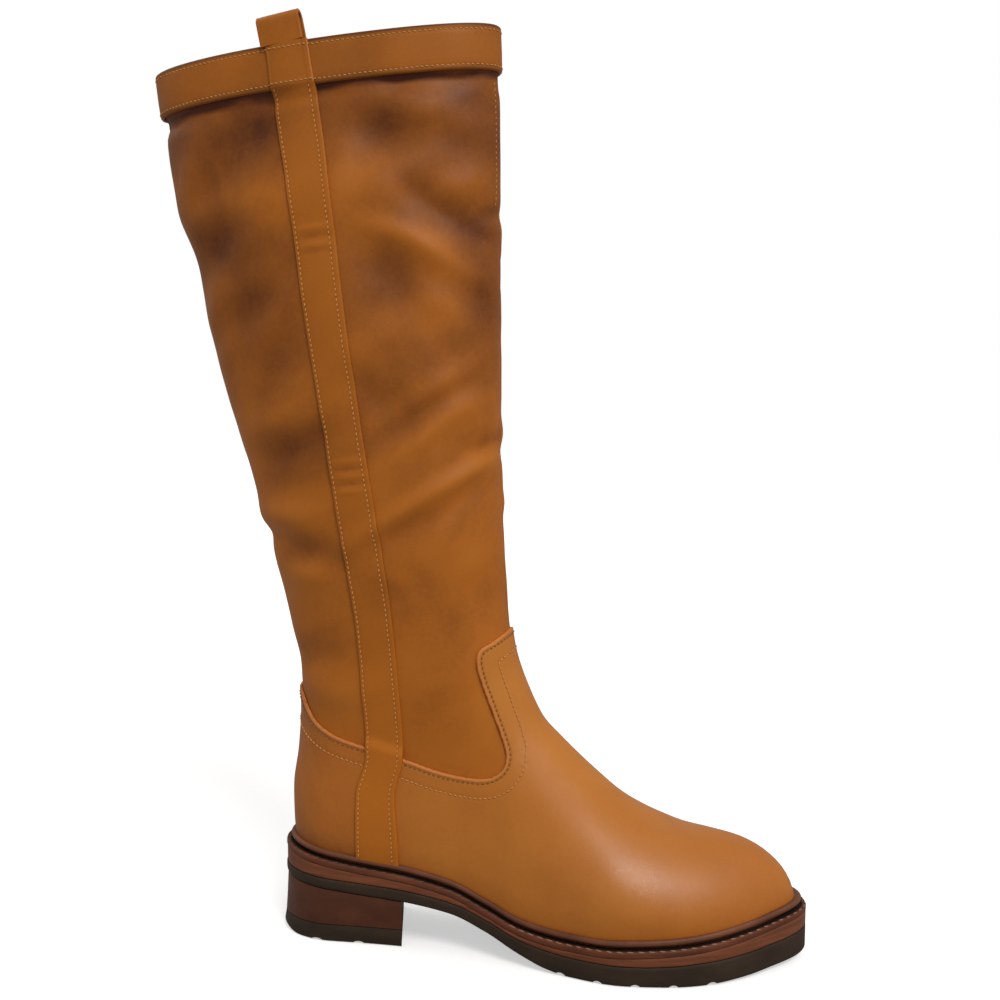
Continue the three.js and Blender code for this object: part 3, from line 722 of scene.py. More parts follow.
class Nodes:
    """Small helper that adds and joins the nodes of one tree."""

    def __init__(self, tree):
        self.tree = tree

    def feed(self, node, inputs):
        """Gives a node's inputs their values, or links them to other nodes' outputs."""
        for key, value in inputs.items():
            if isinstance(value, bpy.types.NodeSocket):
                self.tree.links.new(value, node.inputs[key])
            else:
                node.inputs[key].default_value = value

    def add(self, kind, inputs=None, **settings):
        node = self.tree.nodes.new(kind)
        for key, value in settings.items():
            setattr(node, key, value)
        self.feed(node, inputs or {})
        return node

    def place(self):
        """The object's own coordinates, in metres."""
        return self.add("ShaderNodeTexCoord").outputs["Object"]

    def noise(self, vector, scale, detail, distortion=0.0):
        inputs = {"Vector": vector, "Scale": scale, "Detail": detail, "Distortion": distortion}
        return self.add("ShaderNodeTexNoise", inputs).outputs["Fac"]

    def relief(self, height, strength, distance):
        inputs = {"Strength": strength, "Distance": distance, "Height": height}
        return self.add("ShaderNodeBump", inputs).outputs["Normal"]

    def math(self, operation, a, b):
        return self.add("ShaderNodeMath", {0: a, 1: b}, operation=operation).outputs[0]

    def ramp(self, value, low, high, to_low=0.0, to_high=1.0):
        names = {"Value": value, "From Min": low, "From Max": high, "To Min": to_low, "To Max": to_high}
        return self.add("ShaderNodeMapRange", names, clamp=True).outputs["Result"]

    def mix(self, factor, a, b):
        node = self.add("ShaderNodeMix", {0: factor, 6: a, 7: b}, data_type="RGBA")
        return node.outputs[2]


def new_group(name, inputs, outputs):
    """An empty shader node group with named inputs and outputs."""
    group = bpy.data.node_groups.new(name, "ShaderNodeTree")
    for label, kind, value in inputs:
        socket = group.interface.new_socket(name=label, in_out="INPUT", socket_type=kind)
        socket.default_value = value
    for label, kind in outputs:
        group.interface.new_socket(name=label, in_out="OUTPUT", socket_type=kind)
    nodes = Nodes(group)
    source = nodes.add("NodeGroupInput")
    sink = nodes.add("NodeGroupOutput")
    return group, nodes, source.outputs, sink


FLOAT, COLOUR = "NodeSocketFloat", "NodeSocketColor"
SKIN_RELIEF, THREAD_RELIEF = 0.0004, 0.0002  # full height of the relief, in metres


def grain_group():
    """Fine leather grain: closed pores and hair-thin wrinkles, as a height."""
    if "Leather grain" in bpy.data.node_groups:
        return bpy.data.node_groups["Leather grain"]
    inputs = [("Scale", FLOAT, 1500.0), ("Wrinkles", FLOAT, 0.3)]
    outputs = [("Height", FLOAT), ("Gloss shift", FLOAT)]
    group, nodes, given, sink = new_group("Leather grain", inputs, outputs)
    place = nodes.place()
    cells = nodes.add(
        "ShaderNodeTexVoronoi",
        {"Vector": place, "Scale": given["Scale"], "Randomness": 0.9},
        feature="DISTANCE_TO_EDGE",
    )
    pebble = nodes.ramp(cells.outputs["Distance"], 0.0, 0.28)
    wave = nodes.math("MULTIPLY", given["Scale"], 0.16)
    folds = nodes.math("MULTIPLY", nodes.noise(place, wave, 4.0), given["Wrinkles"])
    height = nodes.math("ADD", nodes.math("MULTIPLY", pebble, 0.5), folds)
    nodes.feed(sink, {"Height": height, "Gloss shift": nodes.noise(place, 55.0, 5.0)})
    return group


def mottle_group():
    """Uneven leather dye in broad clouds and small spots, plus the given tone, which holds painted shade in
    creases and recesses and painted light on crease ridges.
    """
    if "Leather dye" in bpy.data.node_groups:
        return bpy.data.node_groups["Leather dye"]
    inputs = [
        ("Light", COLOUR, (0.5, 0.2, 0.05, 1.0)),
        ("Middle", COLOUR, (0.4, 0.15, 0.04, 1)),
        ("Dark", COLOUR, (0.2, 0.07, 0.02, 1)),
        ("Cloud size", FLOAT, 14.0),
        ("Cloud strength", FLOAT, 0.5),
        ("Tone", FLOAT, 0.0),
    ]
    group, nodes, given, sink = new_group("Leather dye", inputs, [("Color", COLOUR)])
    place = nodes.place()
    cloud = nodes.noise(place, given["Cloud size"], 3.0, 0.6)
    spots = nodes.noise(place, 420.0, 3.0)
    patches = nodes.noise(place, nodes.math("MULTIPLY", given["Cloud size"], 3.3), 4.0)
    centred = nodes.math("SUBTRACT", cloud, 0.5)
    smaller = nodes.math("MULTIPLY", nodes.math("SUBTRACT", patches, 0.5), 0.35)
    cloudy = nodes.math("MULTIPLY", nodes.math("ADD", centred, smaller), given["Cloud strength"])
    fine = nodes.math("MULTIPLY", nodes.math("SUBTRACT", spots, 0.5), 0.25)
    shade = nodes.math("ADD", nodes.math("ADD", cloudy, fine), given["Tone"])
    darker = nodes.ramp(shade, -0.05, -1.0)
    lighter = nodes.ramp(shade, 0.0, 0.9)
    toned = nodes.mix(darker, given["Middle"], given["Dark"])
    nodes.feed(sink, {"Color": nodes.mix(lighter, toned, given["Light"])})
    return group


def wear_group():
    """Rubbed, dusty patches for soles and edges, as a mask."""
    if "Edge wear" in bpy.data.node_groups:
        return bpy.data.node_groups["Edge wear"]
    inputs = [("Scale", FLOAT, 60.0), ("Amount", FLOAT, 0.5), ("Stretch", FLOAT, 1.0)]
    group, nodes, given, sink = new_group("Edge wear", inputs, [("Mask", FLOAT), ("Streaks", FLOAT)])
    place = nodes.place()
    low = nodes.math("SUBTRACT", 0.75, nodes.math("MULTIPLY", given["Amount"], 0.35))
    mask = nodes.ramp(nodes.noise(place, given["Scale"], 6.0), low, 0.85)
    parts = nodes.add("ShaderNodeSeparateXYZ", {"Vector": place})
    tall = nodes.math("MULTIPLY", parts.outputs["Z"], given["Stretch"])
    flat = nodes.add(
        "ShaderNodeCombineXYZ",
        {"X": parts.outputs["X"], "Y": parts.outputs["Y"], "Z": tall},
    )
    nodes.feed(sink, {"Mask": mask, "Streaks": nodes.noise(flat.outputs["Vector"], 40.0, 4.0)})
    return group


def fresh_material(name):
    """A new material with its own shader, or the one already made under that name."""
    name = f"{name}_look"
    material = bpy.data.materials.get(name)
    if material:
        return material, None, None
    material = bpy.data.materials.new(name)
    material.use_nodes = True
    tree = material.node_tree
    tree.nodes.clear()
    nodes = Nodes(tree)
    shader = nodes.add("ShaderNodeBsdfPrincipled")
    nodes.add("ShaderNodeOutputMaterial", {"Surface": shader.outputs[0]})
    return material, nodes, shader


def use_group(nodes, group, inputs):
    node = nodes.add("ShaderNodeGroup", inputs, node_tree=group)
    return node.outputs


def leather(name, dyes, gloss, grain=1500.0, wrinkles=0.3, relief=0.12, clouds=0.5, shine=0.42):
    """Smooth dyed leather with a light wax finish. The dyes are light, middle and dark."""
    material, nodes, shader = fresh_material(name)
    if nodes is None:
        return material
    # The tone attribute carries painted shade in creases and recesses and painted light on crease ridges,
    # besides darker and lighter dye.
    tone = nodes.add("ShaderNodeAttribute", attribute_name="tone").outputs["Fac"]
    dye_inputs = {"Light": dyes[0], "Middle": dyes[1], "Dark": dyes[2]}
    dye_inputs.update({"Cloud strength": clouds, "Tone": tone})
    dye = use_group(nodes, mottle_group(), dye_inputs)
    skin = use_group(nodes, grain_group(), {"Scale": grain, "Wrinkles": wrinkles})
    rubbed = nodes.add("ShaderNodeAttribute", attribute_name="polish").outputs["Fac"]
    plain = nodes.ramp(skin["Gloss shift"], 0.3, 0.7, gloss - 0.05, gloss + 0.07)
    finish = {
        "Base Color": dye["Color"],
        "Roughness": nodes.math("SUBTRACT", plain, nodes.math("MULTIPLY", rubbed, 0.2)),
        "Coat Weight": nodes.math("ADD", nodes.math("MULTIPLY", rubbed, 0.62), 0.06),
        "Coat Roughness": 0.4,
        "Specular IOR Level": shine,
        "Normal": nodes.relief(skin["Height"], relief, SKIN_RELIEF),
    }
    nodes.feed(shader, finish)
    return material


def shade_of(colour, factor):
    return tuple(c * factor for c in colour[:3]) + (1.0,)


def shades(colour, light, dark):
    """A colour with its lighter and darker forms, in the order that leather takes."""
    c = tuple(colour)
    return shade_of(c, light), c, shade_of(c, dark)


def main_dyes():
    c = colours()
    return c.leather_light, tuple(c.leather), c.leather_dark


def shaft_leather():
    return leather("shaft_leather", main_dyes(), 0.5, relief=0.16, clouds=1.25, shine=0.25)


def foot_leather():
    return leather("foot_leather", main_dyes(), 0.47, relief=0.26, clouds=1.0)


def trim_leather():
    dyes = shades(colours().trim, 1.3, 0.3)
    return leather("trim_leather", dyes, 0.5, relief=0.16, clouds=0.8, shine=0.25)


def cut_edge():
    return leather("cut_edge", shades(colours().cut_edge, 1.2, 0.6), 0.6, 900.0, 0.8, 0.3)


def lining():
    return leather("lining_skin", shades(colours().lining, 1.15, 0.6), 0.75, 1100.0, 0.5, 0.3)


def thread(name="thread", strength=1.0):
    """Waxed sewing thread with its twist."""
    material, nodes, shader = fresh_material(name)
    if nodes is None:
        return material
    inputs = {"Vector": nodes.place(), "Scale": 900.0, "Distortion": 1.5}
    wave = nodes.add("ShaderNodeTexWave", inputs, bands_direction="DIAGONAL")
    twist = wave.outputs["Fac"]
    c = shade_of(tuple(colours().thread), strength)
    tint = nodes.mix(twist, shade_of(c, 0.7), shade_of(c, 1.15))
    relief = nodes.relief(twist, 0.4, THREAD_RELIEF)
    nodes.feed(shader, {"Base Color": tint, "Roughness": 0.62, "Normal": relief})
    return material


def sole_stuff(name, colour, gloss, stretch, dust, relief=0.15, streak=0.28):
    """Painted sole edge or rubber, with streaks along it and rubbed patches."""
    material, nodes, shader = fresh_material(name)
    if nodes is None:
        return material
    wear = use_group(nodes, wear_group(), {"Scale": 70.0, "Amount": dust, "Stretch": stretch})
    c = tuple(colour)
    streaks = nodes.ramp(wear["Streaks"], 0.3, 0.7)
    streaked = nodes.mix(streaks, shade_of(c, 1 - streak), shade_of(c, 1 + streak))
    tint = nodes.mix(nodes.math("MULTIPLY", wear["Mask"], 0.5), streaked, shade_of(c, 1.5))
    skin = use_group(nodes, grain_group(), {"Scale": 2200.0, "Wrinkles": 0.6})
    height = nodes.math("ADD", nodes.math("MULTIPLY", skin["Height"], 0.4), wear["Streaks"])
    finish = {
        "Base Color": tint,
        "Roughness": nodes.ramp(skin["Gloss shift"], 0.3, 0.7, gloss - 0.07, gloss + 0.08),
        "Specular IOR Level": 0.3,
        "Normal": nodes.relief(height, relief, SKIN_RELIEF),
    }
    nodes.feed(shader, finish)
    return material


def rand_stuff():
    return sole_stuff("rand_edge", colours().rand, 0.42, 1.0, 0.3)


def welt_stuff():
    return sole_stuff("welt_edge", colours().welt, 0.45, 6.0, 0.4)


def cover_stuff():
    return sole_stuff("sole_cover", colours().sole, 0.46, 14.0, 0.4)


def heel_stuff():
    return sole_stuff("heel_cover", colours().heel, 0.42, 2.0, 0.5, 0.05, streak=0.22)


def rubber_stuff():
    return sole_stuff("tread_rubber", colours().rubber, 0.62, 3.0, 0.6, 0.2)


# ---------------------------------------------------------------- pieces of the upper


def piece_slot(piece, slot, *nodes):
    """Hides the nodes of the frame that the piece stands for. Its slot is not used."""
    if nodes:
        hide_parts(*nodes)
    return piece


def build_shaft():
    """The hollow shaft and foot of the upper, creased outside and lined inside."""
    levels = np.concatenate([np.linspace(0, 7, 26), np.linspace(7, 22.9, 232)[1:], [23.0]])
    angles = turns(190, (0.008, 0.018, 0.03, 0.046))
    skin = skin_rows(levels, angles)
    collar = collar_height(skin.along)
    height_fade = step(104, 150, skin.height) * step(4, 14, collar - skin.height)
    outer = skin.lifted(seam_groove(skin) * height_fade)
    tone = shaft_tone_and_shade(skin)
    inner_levels = np.concatenate([np.linspace(0, 7, 16), np.linspace(7, 23, 70)[1:]])
    inner_skin = skin_rows(inner_levels[::-1], angles)
    below_band = collar_height(inner_skin.along) - inner_skin.height - BAND_HEIGHT
    inner = inner_skin.lifted(-WALL - 1.8 * bell(below_band, 3, 8))
    loops = np.concatenate([outer, inner])
    outside = len(levels)
    tones = np.concatenate([tone, np.zeros(inner.shape[:2])])
    piece = loft(
        "shaft_leather",
        loops,
        [shaft_leather(), lining()],
        lambda i, j: 0 if i < outside else 1,
        closed_rows=True,
        tones=tones,
    )
    return piece_slot(piece, "smooth_leather", "upper")


def shaft_tone_and_shade(skin):
    """Painted shade in the creases and painted light on their ridges, a painted shadow just under the band,
    and darker towards the collar than at the ankle.
    """
    tone = crease_field(skin.along, skin.height, skin.side, "tone") * calm(skin.along, skin.height)
    drop = collar_height(skin.along) - skin.height - BAND_HEIGHT
    band_gap_shadow = bell(drop, 1.2, 2.2) * (0.75 + 0.25 * np.sin(skin.along * 0.11))
    return tone * colours().crease_light_and_shade - band_gap_shadow - 0.5 * step(150, 440, skin.height)


def run_of(line):
    """Length along a line at each of its points."""
    return np.concatenate([[0], np.cumsum(np.linalg.norm(np.diff(line, axis=0), axis=1))])


def along_run(at, run, line):
    """Points of a line at given lengths along it."""
    return np.stack([np.interp(at, run, column) for column in line.T], -1)


def at_share(line, share):
    run = run_of(line)
    return along_run(np.asarray(share) * run[-1], run, line)


def smooth_line(points, count):
    """Even points on a smooth line through the given ones."""
    p = np.vstack([2 * points[0] - points[1], points, 2 * points[-1] - points[-2]])
    t = np.linspace(0, 1, 24, endpoint=False)[:, None]
    out = []
    for a, b, c, d in zip(p, p[1:], p[2:], p[3:]):
        square = (2 * a - 5 * b + 4 * c - d) * t**2
        cube = (3 * b - 3 * c + d - a) * t**3
        out.append(0.5 * (2 * b + (c - a) * t + square + cube))
    line = np.vstack(out + [points[-1:]])
    run = run_of(line)
    return along_run(np.linspace(0, run[-1], count), run, line)


def inside_part(line):
    """The stretch of a side-view line that lies inside the upper's outline."""
    full = fullness(line[:, 0], line[:, 1], nearest_on_front(line[:, 0], line[:, 1]))
    keep = np.where(full > 0)[0]
    first, last = keep[0], keep[-1]

    def cross(i, j):
        t = full[i] / (full[i] - full[j])
        return mix(line[i], line[j], t)

    ends = [cross(first, first - 1)] if first > 0 else []
    tail = [cross(last, last + 1)] if last + 1 < len(line) else []
    return np.vstack(ends + [line[first : last + 1]] + tail)


# Which place on the panel's upper edge faces which place on its lower edge: along and height of
# both. The lower edge runs along the base to the toe's tip and then up the front to the tongue.
FACING = table("top_along top_height low_along low_height sag", [
    [4.5, 139, 3, 50, 0],
    [14, 127, 16, 48, 0],
    [37, 113.7, 40, 44, 0],
    [69, 105, 84, 37, 0],
    [90, 99, 126, 24, 0],
    [103, 96.6, 164, 18, 0],
    [115, 96.6, 206, 19, 1],
    [122.5, 100.5, 246, 23, 4],
    [125, 107, 279, 30, 9],
    [123.8, 113, 264, 53, 16],
    [121, 121, 228, 65, 14],
    [116, 134, 190, 80, 9],
    [110.5, 149, 148, 116, 3],
    [108, 159, 134, 138, 1],
    [109.5, 165.5, 128, 153, 0],
    [116, 169.5, 125, 163, 0],
    [122.6, 174, 122.6, 174, 0],
])


class PanelMap:
    """Side-view map of the foot panel: s along its upper edge, t from there to base and front."""

    def __init__(self):
        self.top = inside_part(smooth_line(TOPLINE, 2400))
        levels = np.linspace(0, 13.2, 900)
        course = Course(levels)
        a, h = course(outline_share(course))
        front = np.stack([a, h], 1)
        tip = self.top[-1]
        front = front[: np.argmin(np.linalg.norm(front - tip, axis=1))]
        low = Course(np.zeros(1))
        a, h = low(np.linspace(0, outline_share(low)[0], 900)[None, :])
        base = np.stack([a[0], h[0]], 1)
        self.low = np.vstack([base[:-1], front, tip])
        heights = np.linspace(self.top[0, 1], base[0, 1], 200)
        self.back = np.stack([shaft_back(heights), heights], 1)
        self.back[0], self.back[-1] = self.top[0], base[0]
        self.low_run, self.top_run = run_of(self.low), run_of(self.top)
        rows = FACING["rows"]
        top_at = [self.top_run[np.argmin(np.linalg.norm(self.top - r[:2], axis=1))] for r in rows]
        low_at = [self.low_run[np.argmin(np.linalg.norm(self.low - r[2:4], axis=1))] for r in rows]
        top_at[0], low_at[0] = 0, 0
        top_at[-1], low_at[-1] = self.top_run[-1], self.low_run[-1]
        top_at, low_at = np.array(top_at), np.array(low_at)
        share = 0.5 * top_at / top_at[-1] + 0.5 * low_at / low_at[-1]
        fine = np.linspace(0, 1, 400)
        kernel = np.ones(21) / 21
        both = []
        for at in (top_at, low_at, rows[:, 4]):
            even = np.interp(fine, share, at)
            before, after = 2 * even[0] - even[10:0:-1], 2 * even[-1] - even[-2:-12:-1]
            padded = np.concatenate([before, even, after])
            both.append(np.convolve(padded, kernel, "valid"))
        self.fine, (self.top_at, self.low_at, self.sag) = fine, both
        self.toe = float(np.interp(self.low_run[len(base) - 1], self.low_at, fine))

    def ends(self, s):
        top_at, low_at = np.interp(s, self.fine, self.top_at), np.interp(s, self.fine, self.low_at)
        return along_run(top_at, self.top_run, self.top), along_run(low_at, self.low_run, self.low)

    def __call__(self, s, t):
        s, t = np.broadcast_arrays(np.asarray(s, float), np.asarray(t, float))
        top, low = self.ends(s)
        lean = at_share(self.back, t) - mix(self.back[0], self.back[-1], t[..., None])
        sag = np.stack([0 * s, 4 * t * (t - 1) * np.interp(s, self.fine, self.sag)], -1)
        return mix(top, low, t[..., None]) + lean * ((1 - s) ** 6)[..., None] + sag

    def distance(self, where):
        """Side-view distance from the upper edge."""
        edge = self.top[::4]
        flat = where.reshape(-1, 2)
        away = np.empty(len(flat))
        for i in range(0, len(flat), BATCH):
            apart = flat[i : i + BATCH, None] - edge[None]
            away[i : i + BATCH] = np.sqrt(np.min(np.sum(apart * apart, axis=-1), axis=1))
        away = np.where(away < 0.12, 0.0, away)
        return away.reshape(where.shape[:-1])

    def parallel(self, offset):
        """The line that keeps an even distance inside the panel's upper edge."""
        ahead = np.gradient(self.top, axis=0)
        ahead /= np.linalg.norm(ahead, axis=1, keepdims=True)
        line = self.top + offset * np.stack([ahead[:, 1], -ahead[:, 0]], 1)
        line = line[self.distance(line) > offset * 0.985]
        return inside_part(smooth_line(line[::40], 900))

    def rate(self, s):
        """Share t per millimetre of square distance from the upper edge."""
        top, low = self.ends(s)
        ahead = self.ends(np.clip(s + 0.004, 0, 1))[0] - self.ends(np.clip(s - 0.004, 0, 1))[0]
        ahead = ahead / np.linalg.norm(ahead, axis=-1, keepdims=True)
        down = low - top - np.stack([0 * s, 4 * np.interp(s, self.fine, self.sag)], -1)
        square = np.abs(ahead[..., 0] * down[..., 1] - ahead[..., 1] * down[..., 0])
        return 1 / np.clip(square, 0.05, None)


# The foot panel's rounded cut edge: distance in from the edge, lift off the skin.
EDGE_PROFILE = ((0.0, 0.3), (0.03, 0.9), (0.1, 1.3), (0.3, 1.66), (0.7, 1.86), (1.2, 1.88))
FIRST_ROW, SECOND_ROW = 2.3, 10.2  # stitch rows by distance from the edge


def stitched(offset, rows, depth=0.22, width=0.55):
    """Leather pulled down along rows of stitches."""
    total = 0 * np.asarray(offset, float)
    for row in rows:
        total = total - depth * bell(offset, row, width)
    return total


# The panel's next rows of points by distance from the edge, closer together at its stitch rows.
PANEL_OFFSETS = (1.7, 2.05, 2.3, 2.55, 2.9, 3.6, 4.8, 6.2, 7.8, 9.2, 9.8, 10.2, 10.6, 11.2, 12.4)


def panel_lift(offset):
    """Lift of the panel's face by distance from its upper edge: a rounded edge and stitch troughs."""
    at, lift = np.array(EDGE_PROFILE).T
    rounded = np.interp(offset, [0.0, *at[2:], 4.0], [lift[0], *lift[2:], PANEL_LIFT + 0.05])
    return rounded + stitched(offset, (FIRST_ROW, SECOND_ROW)) * step(1.0, 2.0, offset)


def build_foot_panel():
    """The foot's outer skin, one sheet from its raised upper edge to the base and the front."""
    panel = PanelMap()
    half = 200
    s_half = np.linspace(0, 1, half + 1)
    s_half = mix(s_half, step(0, 1, s_half), 0.35)
    s_half[np.argmin(np.abs(s_half - panel.toe))] = panel.toe
    s = np.concatenate([s_half, s_half[1:-1][::-1]])
    side = np.concatenate([np.full(half + 1, LATERAL), np.full(half - 1, MEDIAL)])
    offsets = np.array([o for o, _ in EDGE_PROFILE] + list(PANEL_OFFSETS))
    near_rows, far_rows = len(offsets), 46
    rate = panel.rate(s)
    share = np.linspace(0, 0.45, near_rows)
    near = np.minimum(offsets[:, None] * rate[None, :], share[:, None])
    rest = np.linspace(0, 1, far_rows + 1)[1:, None]
    to_front = step(panel.toe - 0.12, panel.toe + 0.02, s)[None, :]
    far = mix(near[-1:], 1.0, mix(rest, 1 - (1 - rest) ** 2, to_front))
    t = np.concatenate([near, far])
    where = panel(np.broadcast_to(s, t.shape), t)
    skin = Surface(where[..., 0], where[..., 1], np.broadcast_to(side, t.shape))
    outer = skin.lifted(panel_lift(panel.distance(where)))
    inner = skin.lifted(GAP)
    on_front = np.where(s_half >= panel.toe - 1e-9)[0]
    for sheet in (outer, inner):
        other = (2 * half - on_front) % (2 * half)
        middle = (sheet[-1, on_front] + sheet[-1, other]) / 2
        middle[:, 1] = sole_centre(middle[:, 0])
        sheet[-1, on_front] = middle
        sheet[-1, other] = middle
    rows = [len(t) - 1 - k for k in range(0, len(t) - 1, 3)] + [0]
    under = inner[rows]
    loops = np.concatenate([outer, under])
    tone = np.concatenate([foot_tone_and_shade(skin), np.zeros(under.shape[:2])])
    toe_rub = bell(skin.along, 195, 38) * bell(skin.height, 53, 16)
    polish = np.concatenate([toe_rub, np.zeros(under.shape[:2])])
    edge_rows, last = 5, len(outer) - 2
    on_base = s < panel.toe - 1e-9

    # Painted shade: along the base, the panel's lowest row and its bottom edge, in the recess under the
    # rand, take the darker sole cover colour.
    def slot(i, j):
        if i < edge_rows or i == len(loops) - 1:
            return 1
        return 2 if i >= last and on_base[j] and i < len(outer) else 0

    def keep(i, j):
        return i != len(outer) - 1 or on_base[j] or on_base[(j + 1) % len(s)]

    materials = [foot_leather(), cut_edge(), cover_stuff()]
    piece = loft(
        "foot_panel_leather",
        loops,
        materials,
        slot,
        closed_rows=True,
        tones=tone,
        angle=60,
        keep=keep,
        polish=polish,
    )
    return piece_slot(piece, "smooth_leather", "foot_panel")


def foot_tone_and_shade(skin):
    """The foot is lighter over the instep, less so at the toe, a little darker at the heel, and darker along
    the base with painted shade where it meets the welt.
    """
    rise = skin.height - sole_top(skin.along)
    toe = 0.5 * step(20, 90, skin.along) * (1 - 0.7 * step(185, 250, skin.along))
    base = -0.42 * bell(rise, 0, 9.0)
    heel = -0.12 * (1 - step(10, 60, skin.along))
    return toe + base + heel


def first_place(test, low, high):
    """Where a test that fails at low and passes at high starts to pass."""
    for _ in range(RING_HALVINGS):
        middle = (low + high) / 2
        low, high = (low, middle) if test(middle) else (middle, high)
    return (low + high) / 2


def band_ring(drop, angles):
    """A ring of side-view points a given drop below the collar line."""

    def ahead_of_back(along):
        return along - float(shaft_back(collar_height(along) - drop)) > 0

    def past_front(along):
        a, h = np.array([along]), np.array([collar_height(along) - drop])
        return front_share(a, h, nearest_on_front(a, h))[0] <= 0

    back = first_place(ahead_of_back, -90.0, 20.0)
    front = first_place(past_front, 60.0, 130.0)
    along = mix(back, front, (1 - np.cos(angles)) / 2)
    return along, collar_height(along) - drop


# Cross-section of the folded collar band: drop below the collar, lift off the upper.
# Its first rows are the cut edge, the outer rows are leather, and the rest is lining.
BAND_PROFILE = (
    (23.0, -0.3), (23.5, 0.4), (23.5, 1.0), (23.3, 1.5), (22.9, 1.85), (22.2, 1.98), (21.6, 1.9),
    (21.2, 1.72), (20.8, 1.9), (20.0, 2.05), (17.0, 2.1), (13.0, 2.15), (9.0, 2.1), (5.0, 2.05), (3.6, 1.98),
    (3.0, 1.86), (2.6, 1.7), (2.2, 1.86), (1.6, 1.95), (0.8, 1.9), (0.1, 1.6), (-0.5, 0.9), (-0.7, 0.0),
    (-0.7, -1.2), (-0.4, -2.0), (0.4, -2.6), (1.6, -3.0), (6.0, -3.1), (12.0, -3.0), (13.0, -2.5),
)
BAND_CUT_ROWS, BAND_OUTER_ROWS = 2, 23
BAND_ROWS, BAND_TROUGH = (2.6, 21.2), 1.72  # stitch rows by drop, and their lift


def build_collar_band():
    """The leather strip folded over the collar, with the troughs of its two stitch rows."""
    angles = turns(230, (0.01, 0.022))
    side = np.where(angles <= math.pi, LATERAL, MEDIAL)
    rows = []
    for drop, lift in BAND_PROFILE:
        along, height = band_ring(max(drop, 0.05), angles)
        skin = Surface(along, height, side)
        wobble = 0.18 * np.sin(along * 0.21 + side) * float(step(0, 8, drop)) * (lift > 0)
        point = skin.point + skin.normal * (lift + wobble)[..., None]
        point[..., 2] += max(-drop, 0)
        rows.append(point)
    loops = np.array(rows)
    drops = np.array([drop for drop, _ in BAND_PROFILE])[:, None]
    # Painted shade: a dark line along the rolled top fold, partly a burnished edge; the band is also darker
    # from its lower stitch row to its lower edge.
    edge_shade_and_burnish = -1.0 * (1 - step(0.4, 1.8, drops)) - 0.35 * step(20.6, 21.2, drops)
    tone = 0.1 * np.sin(loops[..., 0] * 0.05 + loops[..., 2] * 0.02) - 0.2 + edge_shade_and_burnish

    def slot(i, j):
        if i < BAND_CUT_ROWS:
            return 1
        return 0 if i < BAND_OUTER_ROWS else 2

    materials = [trim_leather(), cut_edge(), lining()]
    piece = loft("collar_band_leather", loops, materials, slot, closed_rows=True, tones=tone, angle=60)
    return piece_slot(piece, "trim_leather", "collar_band")


def strap_lift(along, height):
    """How far the strap's face stands off the skin: it climbs over band and panel."""
    edge = collar_height(along) - BAND_HEIGHT
    on_band = step(edge - 8, edge - 1.5, height)
    on_panel = 1 - step(panel_edge(along) + 1.0, panel_edge(along) + 8.0, height)
    return STRAP_LIFT + PANEL_LIFT * np.maximum(on_band, on_panel)


def panel_edge(along):
    """Height of the foot panel's edge where the strap crosses it."""
    return np.interp(along, TOPLINE[4:9, 0], TOPLINE[4:9, 1])


def strap_point(height, share):
    return mix(strap_rear(height), strap_fore(height), share)


# Half of the strap's cross-section: distance from its edge, height over its face.
STRAP_PROFILE = (
    (0.0, -1.6), (-0.10, -0.9), (0.0, -0.45), (0.3, -0.12), (0.8, 0.0), (1.2, -0.1), (1.7, -0.22),
    (2.2, -0.1), (3.2, 0.05), (6.0, 0.12), (9.0, 0.15),
)
STRAP_WIDTH, STRAP_DEPTH = 22.0, 1.9
STRAP_REAR_INSET, STRAP_FORE_INSET = 1.7, 3.0  # stitch rows, from the strap's edges


def strap_section():
    """The whole cross-section as shares of the width, with its heights over the face."""
    shift = STRAP_FORE_INSET - STRAP_REAR_INSET
    fore = [(STRAP_WIDTH - o - (shift if 0.8 < o < 3 else 0.0), lift) for o, lift in reversed(STRAP_PROFILE)]
    profile = np.array([*STRAP_PROFILE, (STRAP_WIDTH / 2, 0.15), *fore])
    return profile[:, 0] / STRAP_WIDTH, profile[:, 1]


